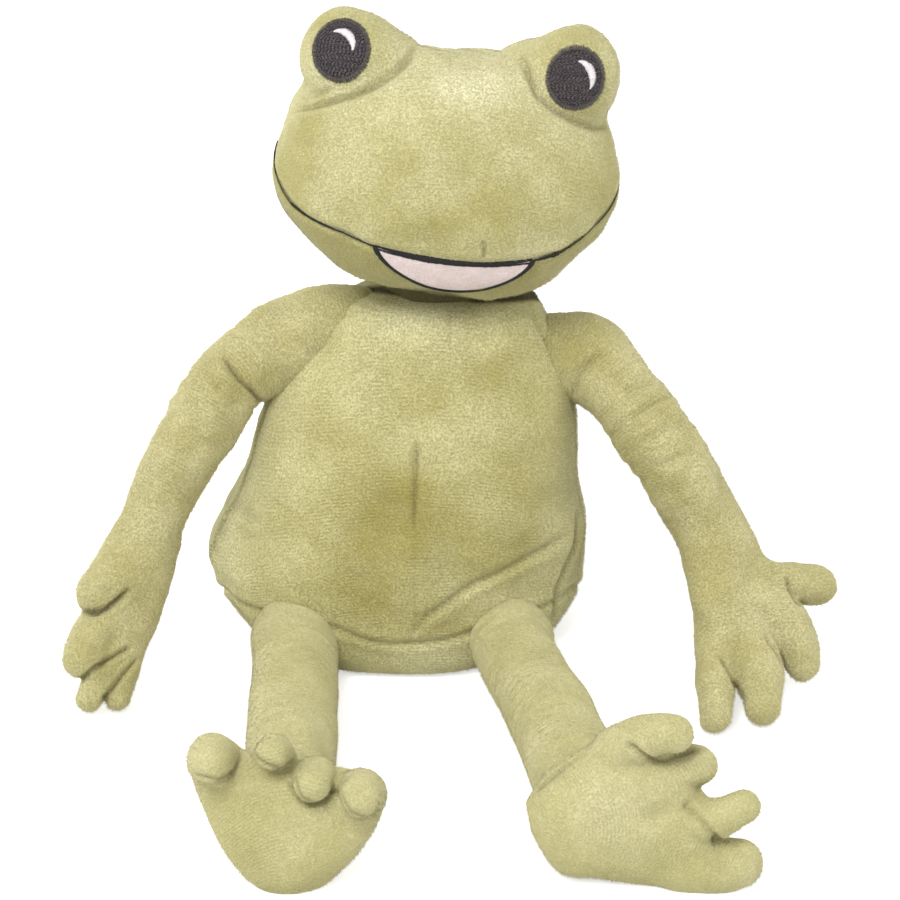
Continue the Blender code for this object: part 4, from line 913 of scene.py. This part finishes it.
def leg_shape(points, normals, name):
    """A leg's and foot's seams and folds as moves, the shade painted at each place, and its knit rows."""
    far = line_place(points, curve(LEG_PATHS[name], 4)[:, :3])[1]
    local, faced = sole_place(points, name), normals @ np.array(SOLES[name][3])
    on_leg = np.clip((-local[:, 2] - 8) / 5, 0, 1)
    ripple = np.sin(2 * math.pi * (far + 2 * lumps(points, 40, 21)) / 6.3)
    ripple *= 0.5 + 0.6 * lumps(points, 24, 22)
    rim, neck = np.abs(local[:, 2] + 1.5), np.abs(local[:, 2] + 10.5)
    move, painted_shade = creases(points, normals, TOE_CREASES[name])
    move += on_leg * 0.3 * ripple + lumps(points, 22, 23) * 0.35
    move -= 0.7 * (1 - on_leg) * np.clip(1 - np.abs(faced) * 1.4, 0, 1) * np.exp(-rim ** 2)
    move -= 0.7 * np.exp(-(neck / 2.0) ** 2) * np.clip(1 - np.abs(local[:, 0]) / 40, 0, 1)
    # Painted shade in the groove round the sole's neck and in the sole's creases
    painted_shade = np.maximum(painted_shade, 0.25 * np.exp(-(neck / 1.6) ** 2))
    strong = np.clip(faced * 2.5 + 0.3, 0, 1) * (local[:, 2] > 2)
    for line, width, depth, dark in SOLE_CREASES[name]:
        off = line_place(local[:, :2], np.array(line))[0] / width
        move += strong * groove(off, depth, 0.3)
        painted_shade = np.maximum(painted_shade, strong * dark * np.exp(-(off / 0.65) ** 2))
    rows = np.where(on_leg > 0.5, far, local[:, 0] + 0.02 * local[:, 1] ** 2)
    return move, painted_shade * (1 - 0.3 * on_leg), rows


# Finishes: the light and the dark colour, how strongly the knit shows, the smudges' size and the grain

PLUSH = {
    "body": ((0.87, 0.85, 0.67), (0.64, 0.605, 0.345), 0.24, 0.03, 0.62),
    "head": ((0.87, 0.85, 0.69), (0.67, 0.64, 0.405), 0.14, 0.02, 0.62),
    "limb": ((0.85, 0.825, 0.65), (0.65, 0.615, 0.37), 0.24, 0.02, 0.62),
    "leg": ((0.825, 0.80, 0.63), (0.685, 0.66, 0.43), 0.22, 0.025, 0.42),
}
LOOKS = {key: plush_material(f"plush_{key}", *values) for key, values in PLUSH.items()}
PILES = {key: plush_material(f"pile_{key}", *values, pile=True) for key, values in PLUSH.items()}
EYE_THREAD = thread_material("eye_thread", (0.37, 0.33, 0.34), (0.10, 0.085, 0.09), sheen=0.05)
LINE_THREAD = thread_material("line_thread", (0.10, 0.095, 0.09), (0.03, 0.03, 0.03), 0.8, sheen=0)
EYE_GROUND = thread_material("eye_ground", (0.10, 0.085, 0.09), (0.05, 0.045, 0.05), 0.8, sheen=0)
GLINT_THREAD = thread_material("glint_thread", (0.86, 0.84, 0.85), (0.66, 0.64, 0.65))
MOUTH_CLOTH = fleece_material("mouth_fleece", (0.87, 0.80, 0.785), (0.77, 0.71, 0.70))


def plush_values(points, rows, painted_shade, cover, brush_and_light):
    """What the plush and its pile read. The knit rows wander a little."""
    rows = (rows + 0.25 * lumps(points, 14, 61)) * MM
    return ("rows", rows), ("painted_shade", painted_shade), ("cover", cover), ("brush_and_painted_light", brush_and_light)


def dressed(name, points, faces, move, painted_shade, rows, look, tones=()):
    """The skin's mesh with its moves, and what the materials and the pile read."""
    moved = points + outward(points, faces) * move[:, None]
    moved[:, 2] = np.maximum(moved[:, 2], 0.1)
    cover = (moved[:, 2] > 1.6).astype(float)
    return mesh_piece(name, moved, faces, LOOKS[look],
                      plush_values(points, rows, painted_shade, cover, brush_and_painted_light(points, tones)))


def limb_skin(field, rough, margin):
    """The skin of a limb, in a box with this margin round its rows and down to the floor."""
    low, high = rough[:, :3].min(0) - margin, rough[:, :3].max(0) + margin
    low[2] = -2
    return skin(field, low, high, LIMB_STEP)


def make_torso():
    points, faces = skin(torso_field, (-86, -58, -3), (78, 58, 144), 1.1)
    move, painted_shade = torso_shape(points, outward(points, faces))
    rows = points[:, 2] + 0.004 * points[:, 0] ** 2
    torso = dressed("torso_plush", points, faces, move, painted_shade, rows, "body", BODY_BRUSH_AND_LIGHT)
    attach(torso, "torso")
    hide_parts("belly_panel", "base_panel", "back_panel_left", "back_panel_right", "body_stuffing",
                "bean_pouch")
    pile = pile_on(torso, "torso_pile", PILES["body"], 5, nap=(1.1, 0, -0.7))
    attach(pile, "torso")


def make_head():
    points, faces = skin(head_field, (-72, -52, -54), (72, 52, 66), 1.0)
    normals = outward(points, faces)
    move, painted_shade, cover = head_shape(points, normals)
    points = points + normals * move[:, None]
    rows = points[:, 2] + 0.003 * points[:, 0] ** 2
    world = from_head(points)
    # Painted shade on the chin, below the mouth's seam
    chin = np.clip(-smile_depth(points) / 3, 0, 1) * np.clip((8 - points[:, 1]) / 16, 0, 1)
    head = mesh_piece("head_plush", world, faces, LOOKS["head"],
                      plush_values(points, rows, painted_shade, cover, brush_and_painted_light(world, HEAD_BRUSH_AND_LIGHT) - 0.9 * chin))
    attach(head, "head")
    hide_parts("face_panel", "chin_panel", "head_back_panel_left", "head_back_panel_right",
                "head_stuffing", "eye_dome_left", "eye_dome_right")
    pile = pile_on(head, "head_pile", PILES["head"], 6, nap=(1.0, 0, -0.6),
                   length=0.95, width=0.14, ribbing=0.35)
    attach(pile, "head")


def make_neck():
    def field(points):
        return melt(ball(points, NECK_PIVOT, (19, 17, 15)), ball(points, (15.1, 9.5, 137), (24, 20, 9)), 5)
    points, faces = skin(field, (-16, -18, 124), (46, 38, 162), 1.2)
    # Painted shadow under the chin: strong at the front, fading towards the back
    painted_shade = 0.85 - 0.7 * np.clip((points[:, 1] - 4) / 10, 0, 1)
    neck = dressed("neck_plush", points, faces, lumps(points, 15, 31) * 0.3, painted_shade, points[:, 2], "body")
    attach(neck, "neck")
    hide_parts("neck_stub")


def make_arm(name):
    points, faces = limb_skin(arm_field(name), np.vstack([ARM_PATHS[name], PALMS[name], *FINGERS[name]]), 22)
    far = line_place(points, curve([*ARM_PATHS[name], *PALMS[name][1:]], 4)[:, :3])[1]
    ripple = np.sin(2 * math.pi * (far + 1.8 * lumps(points, 30, 43)) / 7.0)
    ripple *= 0.5 + 0.5 * lumps(points, 22, 44)
    upper = np.clip((far - 20) / 10, 0, 1) * np.clip((92 - far) / 10, 0, 1)
    # Painted shade in the arm's and hand's creases
    pressed, painted_shade = creases(points, outward(points, faces), ARM_CREASES[name])
    move = lumps(points, 18, 41) * 0.4 + lumps(points, 9, 42) * 0.15 + 0.3 * upper * ripple + pressed
    arm = dressed(f"arm_plush_{name}", points, faces, move, painted_shade, far, "limb", ARM_BRUSH_AND_LIGHT[name])
    elbow, way, side = np.array(ELBOWS[name]), np.array(FOREARM_WAY[name]), f"_{name}"
    start, end = tuple((elbow - way * 14) * MM), tuple((elbow + way * 14) * MM)
    pile = pile_on(arm, f"arm_pile_{name}", PILES["limb"], 8, nap=FOREARM_WAY[name], length=1.2)
    for piece in (arm, pile):
        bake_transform(piece)
        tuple(start)
        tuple(end)
    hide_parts("arm_root" + side, "upper_arm_cloth" + side, "upper_arm_stuffing" + side,
                "forearm_and_hand" + side, "forearm_stuffing" + side)


def make_leg(name):
    path = np.array(LEG_PATHS[name])
    rough = np.vstack([path, *[from_sole(rows, name) for rows in TOES[name]]])
    points, faces = limb_skin(leg_field(name), rough, 24)
    move, painted_shade, rows = leg_shape(points, outward(points, faces), name)
    leg = dressed(f"leg_plush_{name}", points, faces, move, painted_shade, rows, "leg", LEG_BRUSH_AND_LIGHT[name])
    ankle, way, side = np.array(ANKLES[name]), path[-1, :3] - path[-2, :3], f"_{name}"
    way = way / np.linalg.norm(way)
    start, end = tuple((ankle - way * 12) * MM), tuple((ankle + way) * MM)
    pile = pile_on(leg, f"leg_pile_{name}", PILES["leg"], 9, nap=(0, -0.9, -0.3), length=1.0)
    for piece in (leg, pile):
        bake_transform(piece)
        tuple(start)
        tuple(end)
    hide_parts("leg_root" + side, "leg_cloth" + side, "leg_stuffing" + side, "foot_sole" + side,
                "foot_top" + side, "foot_filling" + side)


# Eyes, glints and mouth

EYE_SIZE = 11.7
EYE_NARROW = 0.92
EYE_TURN = {"right": (-0.225, -1.0, 0.22), "left": (-0.06, -1.0, 0.02)}
EYE_ROW_PITCH = 0.47
EYE_STITCH = 1.5
EYE_RIM_STITCHES = 132
# A glint's first and last turn in degrees, and where its middle starts and how that changes
GLINTS = {"right": (116, 0, 0.565, -0.11), "left": (84, -28, 0.53, 0.05)}
GLINT_STITCHES = 46


def eye_place(name):
    """The middle of an eye's dome and the way it looks, in the head's frame."""
    way = np.array(EYE_TURN[name])
    return np.array(DOMES[name]), way / np.linalg.norm(way)


def halved(holds, low, high, steps):
    """How far from low a test still holds, by halving the way to high."""
    for _ in range(steps):
        middle = (low + high) / 2
        held = holds(middle)
        low, high = np.where(held, middle, low), np.where(held, high, middle)
    return low


def on_eye(name, spots):
    """Points over an eye, from rows of a place on its disc (x, y) and a height off the head."""
    centre, way = eye_place(name)
    right = np.cross((0, 0, 1), way)
    right = right / np.linalg.norm(right)
    spots = np.array(spots, float).reshape(-1, 3)
    start = centre + spots[:, :1] * EYE_NARROW * right + spots[:, 1:2] * np.cross(way, right)
    far = halved(lambda out: head_field(start + way * out[:, None]) < spots[:, 2],
                 np.zeros(len(spots)), np.full(len(spots), 30.0), 18)
    return start + way * far[:, None]


def stitches(name, lines, width, look, tones, sides=6):
    """Threads, each a rounded strand along a short line of points that dips at its ends."""
    points, faces, tone = [], [], []
    for line, shade in zip(lines, tones):
        line = np.array(line, float)
        start = len(points)
        count = len(line)
        for k, point in enumerate(line):
            ahead = line[min(k + 1, count - 1)] - line[max(k - 1, 0)]
            ahead = ahead / max(np.linalg.norm(ahead), 1e-9)
            side = np.cross(ahead, (0.1, -1, 0.2))
            side = side / np.linalg.norm(side)
            other = np.cross(ahead, side)
            size = width / 2 * (0.55 if k in (0, count - 1) else 1)
            for n in range(sides):
                turn = 2 * math.pi * n / sides
                points.append(point + (side * math.cos(turn) + other * math.sin(turn)) * size)
                tone.append(shade)
        for k in range(count - 1):
            for n in range(sides):
                m = (n + 1) % sides
                a = start + k * sides
                faces.append((a + n, a + m, a + sides + m, a + sides + n))
        faces.append(tuple(start + n for n in reversed(range(sides))))
        faces.append(tuple(start + (count - 1) * sides + n for n in range(sides)))
    return mesh_piece(name, from_head(np.array(points)), faces, look, (("tone", tone),))


def strip(faces, starts, ends, count):
    """Faces between two closed rows of points, by the numbers of their first points."""
    for n in range(count):
        m = (n + 1) % count
        faces.append((starts + n, ends + n, ends + m, starts + m))


def round_line(turn, rows):
    """A thread's points on an eye along a line from its middle, from rows of distance and height."""
    return [(r * math.cos(turn), r * math.sin(turn), lift) for r, lift in rows]


def make_eye(name):
    rng = np.random.default_rng(71 if name == "left" else 72)
    lines, tones = [], []
    inner = EYE_SIZE - 1.6
    for row in np.arange(-inner, inner, EYE_ROW_PITCH):
        half = math.sqrt(max(inner * inner - row * row, 0))
        start = -half + rng.uniform(0, 1.3)
        edges = [-half, *np.arange(start, half, EYE_STITCH), half]
        for a, b in zip(edges, edges[1:]):
            if b - a < 0.5:
                continue
            spots = [(a, 0.1), (a * 0.75 + b * 0.25, 0.6), (a * 0.25 + b * 0.75, 0.6), (b, 0.1)]
            drift = rng.uniform(-0.1, 0.1)
            lines.append([(x, row + drift, lift) for x, lift in spots])
            tones.append(rng.uniform(0, 1))
    for k in range(EYE_RIM_STITCHES):
        turn = 2 * math.pi * (k + rng.uniform(-0.25, 0.25)) / EYE_RIM_STITCHES
        out = EYE_SIZE + rng.uniform(-0.15, 0.3)
        lines.append(round_line(turn, ((EYE_SIZE - 1.9, 0.2), (EYE_SIZE - 1.4, 0.95), (EYE_SIZE - 0.6, 0.95),
                                       (out, 0.1))))
        tones.append(rng.uniform(0, 0.5))
    threads = on_eye(name, lines).reshape(-1, 4, 3)
    eye = stitches(f"eye_stitching_{name}", threads, THREAD_WIDTH, EYE_THREAD, tones)
    rings, faces, around = [], [], 48
    for k in range(8):
        for n in range(around):
            turn = 2 * math.pi * n / around
            rings += round_line(turn, (((EYE_SIZE - 0.6) * k / 7, 0.3 if k < 7 else -0.8),))
    for k in range(7):
        strip(faces, k * around, (k + 1) * around, around)
    pad = mesh_piece(f"eye_ground_{name}", from_head(on_eye(name, rings)), faces, EYE_GROUND)
    for piece in (eye, pad):
        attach(piece, "head")
    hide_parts(f"eye_disc_{name}")
    glints, tones = [], []
    first, last, across, change = GLINTS[name]
    for k in range(GLINT_STITCHES):
        share = k / (GLINT_STITCHES - 1)
        turn = math.radians(first + (last - first) * share)
        half = 1.35 * math.sin(math.pi * share) ** 0.8 + 0.12 + 0.2 * rng.uniform(-1, 1)
        middle = (across + change * share) * EYE_SIZE
        glints.append(round_line(turn, ((middle - half, 0.6), (middle - half * 0.5, 1.1),
                                        (middle + half * 0.5, 1.1), (middle + half, 0.6))))
        tones.append(rng.uniform(0.2, 1))
    glints = on_eye(name, glints).reshape(-1, 4, 3)
    glint = stitches(f"eye_glint_stitching_{name}", glints, THREAD_WIDTH + 0.1, GLINT_THREAD, tones)
    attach(glint, "head")
    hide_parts(f"eye_glint_{name}")


def head_surface(x, z, lift):
    """The face's surface in the head's frame at this x and z, lifted off it."""
    y = halved(lambda at: head_field(np.stack([x, at, z], 1)) >= lift,
               np.full(len(x), -60.0), np.full(len(x), 0.0), 30)
    return np.stack([x, y, z], 1)


def smile_points(turns, lift):
    """Points of the mouth's seam round the head, from its front."""
    ways = np.stack([np.sin(turns), -np.cos(turns), np.zeros(len(turns))], 1)
    z = np.full(len(turns), -20.0)
    for _ in range(14):
        level = np.stack([z * 0, z * 0, z], 1)
        far = halved(lambda out: head_field(ways * out[:, None] + level) < lift,
                     np.full(len(turns), 5.0), np.full(len(turns), 80.0), 26)
        z = z + 0.6 * (MOUTH_SLOPE * ways[:, 1] * far + smile_bend(turns) - z)
    return ways * far[:, None] + np.stack([z * 0, z * 0, z], 1)


MOUTH_TURN = math.radians(6)
MOUTH_HALF = math.radians(40.5)
MOUTH_DROP = 12.2


def mouth_drop(share):
    """How far the lower lip hangs below the mouth's seam, at a share of the mouth's half width."""
    return MOUTH_DROP * (1 - np.clip(np.abs(share), 0, 1) ** 2) ** 0.6


def mouth_place(points):
    """A point's share of the mouth's half width, and how far below the mouth's seam it is."""
    turn = np.arctan2(points[:, 0], -points[:, 1])
    return np.abs(turn - MOUTH_TURN) / MOUTH_HALF, -smile_depth(points) * math.hypot(1, MOUTH_SLOPE)


def cross_stitch(point, up, half, lean, out):
    """A thread across a line, raised between its ends."""
    return [point - up * half - lean, point - up * half * 0.4 + out, point + up * half * 0.4 + out,
            point + up * half + lean]


def make_smile(rng):
    turns = np.radians(np.linspace(-92, 92, 620))
    path = smile_points(turns, 0.15)
    lines, tones = [], []
    for k in range(2, len(path) - 2, 2):
        way = path[k + 1] - path[k - 1]
        way = way / np.linalg.norm(way)
        out = path[k] * (1, 1, 0)
        out = out / np.linalg.norm(out)
        up = np.cross(way, out)
        up = -up if up[2] < 0 else up
        turn = math.degrees(turns[k])
        thick = 0.75 * math.exp(-((turn - 57) / 6) ** 2) + 0.35 * math.exp(-((turn + 70) / 12) ** 2)
        if abs(turns[k] - MOUTH_TURN) < MOUTH_HALF:
            half = 1.15 + 0.15 * rng.uniform(-1, 1)
        else:
            half = 0.28 + thick + 0.14 * rng.uniform(-1, 1) * (1 + 2 * thick)
        lines.append(cross_stitch(path[k], up, half, way * half * 0.5, out * 0.35))
        tones.append(rng.uniform(0, 1))
    smile = stitches("smile_stitching", lines, LINE_THREAD_WIDTH, LINE_THREAD, tones)
    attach(smile, "head")
    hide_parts("smile_thread")


def make_lip(rng):
    shares = np.sin(np.linspace(-math.pi / 2, math.pi / 2, 260))
    top = smile_points(MOUTH_TURN + shares * MOUTH_HALF, 0.0)
    lip = head_surface(top[:, 0], top[:, 2] - mouth_drop(shares), 0.6)
    lines, tones = [], []
    for k in range(1, len(lip) - 1):
        way = lip[k + 1] - lip[k - 1]
        way = way / max(np.linalg.norm(way), 1e-9)
        up = np.cross(way, (0, -1, -0.4))
        up = up / np.linalg.norm(up)
        half = 0.42 + 0.7 * abs(shares[k]) ** 5 + 0.1 * rng.uniform(-1, 1)
        lines.append(cross_stitch(lip[k], up, half, way * 0.3, np.array((0, -0.35, -0.1))))
        tones.append(rng.uniform(0, 1))
    lip_piece = stitches("lip_stitching", lines, LINE_THREAD_WIDTH, LINE_THREAD, tones)
    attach(lip_piece, "head")
    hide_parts("lip_thread")


def make_mouth_patch():
    rows, columns = 16, 60
    shares = np.sin(np.linspace(-math.pi / 2, math.pi / 2, columns)) * 0.985
    top = smile_points(MOUTH_TURN + shares * MOUTH_HALF, 0.0)
    drop = mouth_drop(shares)
    grid = []
    for k in range(rows):
        part = k / (rows - 1)
        grid.append(head_surface(top[:, 0], top[:, 2] - drop * part, 0.7 if 0 < k < rows - 1 else -0.3))
    points = np.array(grid)
    under = points + np.array((0, 1.6, 0))
    every = np.vstack([points.reshape(-1, 3), under.reshape(-1, 3)])
    total = rows * columns
    faces = []
    for k in range(rows - 1):
        for n in range(columns - 1):
            a = k * columns + n
            faces.append((a, a + columns, a + columns + 1, a + 1))
            faces.append((total + a, total + a + 1, total + a + columns + 1, total + a + columns))
    rim = [*range(columns), *[k * columns + columns - 1 for k in range(1, rows)],
           *[(rows - 1) * columns + n for n in range(columns - 2, -1, -1)],
           *[k * columns for k in range(rows - 2, 0, -1)]]
    for a, b in zip(rim, [*rim[1:], rim[0]]):
        faces.append((a, b, total + b, total + a))
    patch = mesh_piece("mouth_fleece_patch", from_head(every), faces, MOUTH_CLOTH)
    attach(patch, "head")
    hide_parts("mouth_patch")


make_torso()
make_neck()
make_head()
for limb_side in ("right", "left"):
    make_arm(limb_side)
    make_leg(limb_side)
    make_eye(limb_side)
mouth_rng = np.random.default_rng(90)
make_smile(mouth_rng)
make_lip(mouth_rng)
make_mouth_patch()


# Floor, light and camera

def make_floor():
    made, tree, shader, place = new_material("floor_paper")
    fine = wire(tree, "ShaderNodeTexNoise", Vector=place, Scale=300.0, Detail=3.0).outputs[0]
    glow = wire(tree, "ShaderNodeLightPath").outputs["Is Camera Ray"]
    feed(tree, shader, Base_Color=mixed(tree, fine, linear((0.87, 0.87, 0.865)), linear((0.89, 0.89, 0.885))),
         Roughness=0.9, Emission_Strength=maths(tree, "MULTIPLY", glow, 0.6), Emission_Color=(1, 1, 1, 1))
    corners = np.array(((-6, -6, 0), (6, -6, 0), (6, 6, 0), (-6, 6, 0))) / MM
    mesh_piece("floor", corners, [(0, 1, 2, 3)], made)


def make_light(name, place, size, power):
    data = bpy.data.lights.new(name, "AREA")
    data.shape, data.size, data.energy = "DISK", size, power
    made = placed(name, data)
    made.location = place
    made.rotation_euler = (LIT_PLACE - Vector(place)).to_track_quat("-Z", "Y").to_euler()


LIT_PLACE = Vector((0, -0.05, 0.1))
make_floor()
make_light("key", (-0.45, -1.15, 1.6), 0.8, 27)
make_light("fill", (1.4, -0.5, 0.7), 1.0, 5)
make_light("left", (-1.5, -0.3, 0.6), 1.0, 4.5)
world = bpy.data.worlds.new("studio")
world.use_nodes = True
feed(world.node_tree, world.node_tree.nodes["Background"], Color=(1, 1, 1, 1), Strength=0.93)
bpy.context.scene.world = world

look_way = -Vector(TOWARD)
camera = placed("camera", bpy.data.cameras.new("camera"))
camera.data.sensor_width = 36
camera.data.lens = 107.68
camera.location = Vector((0.016, 0, 0.074)) - look_way * 1.05
camera.rotation_euler = look_way.to_track_quat("-Z", "Y").to_euler()
bpy.context.scene.camera = camera
bpy.context.scene.view_settings.view_transform = "Standard"
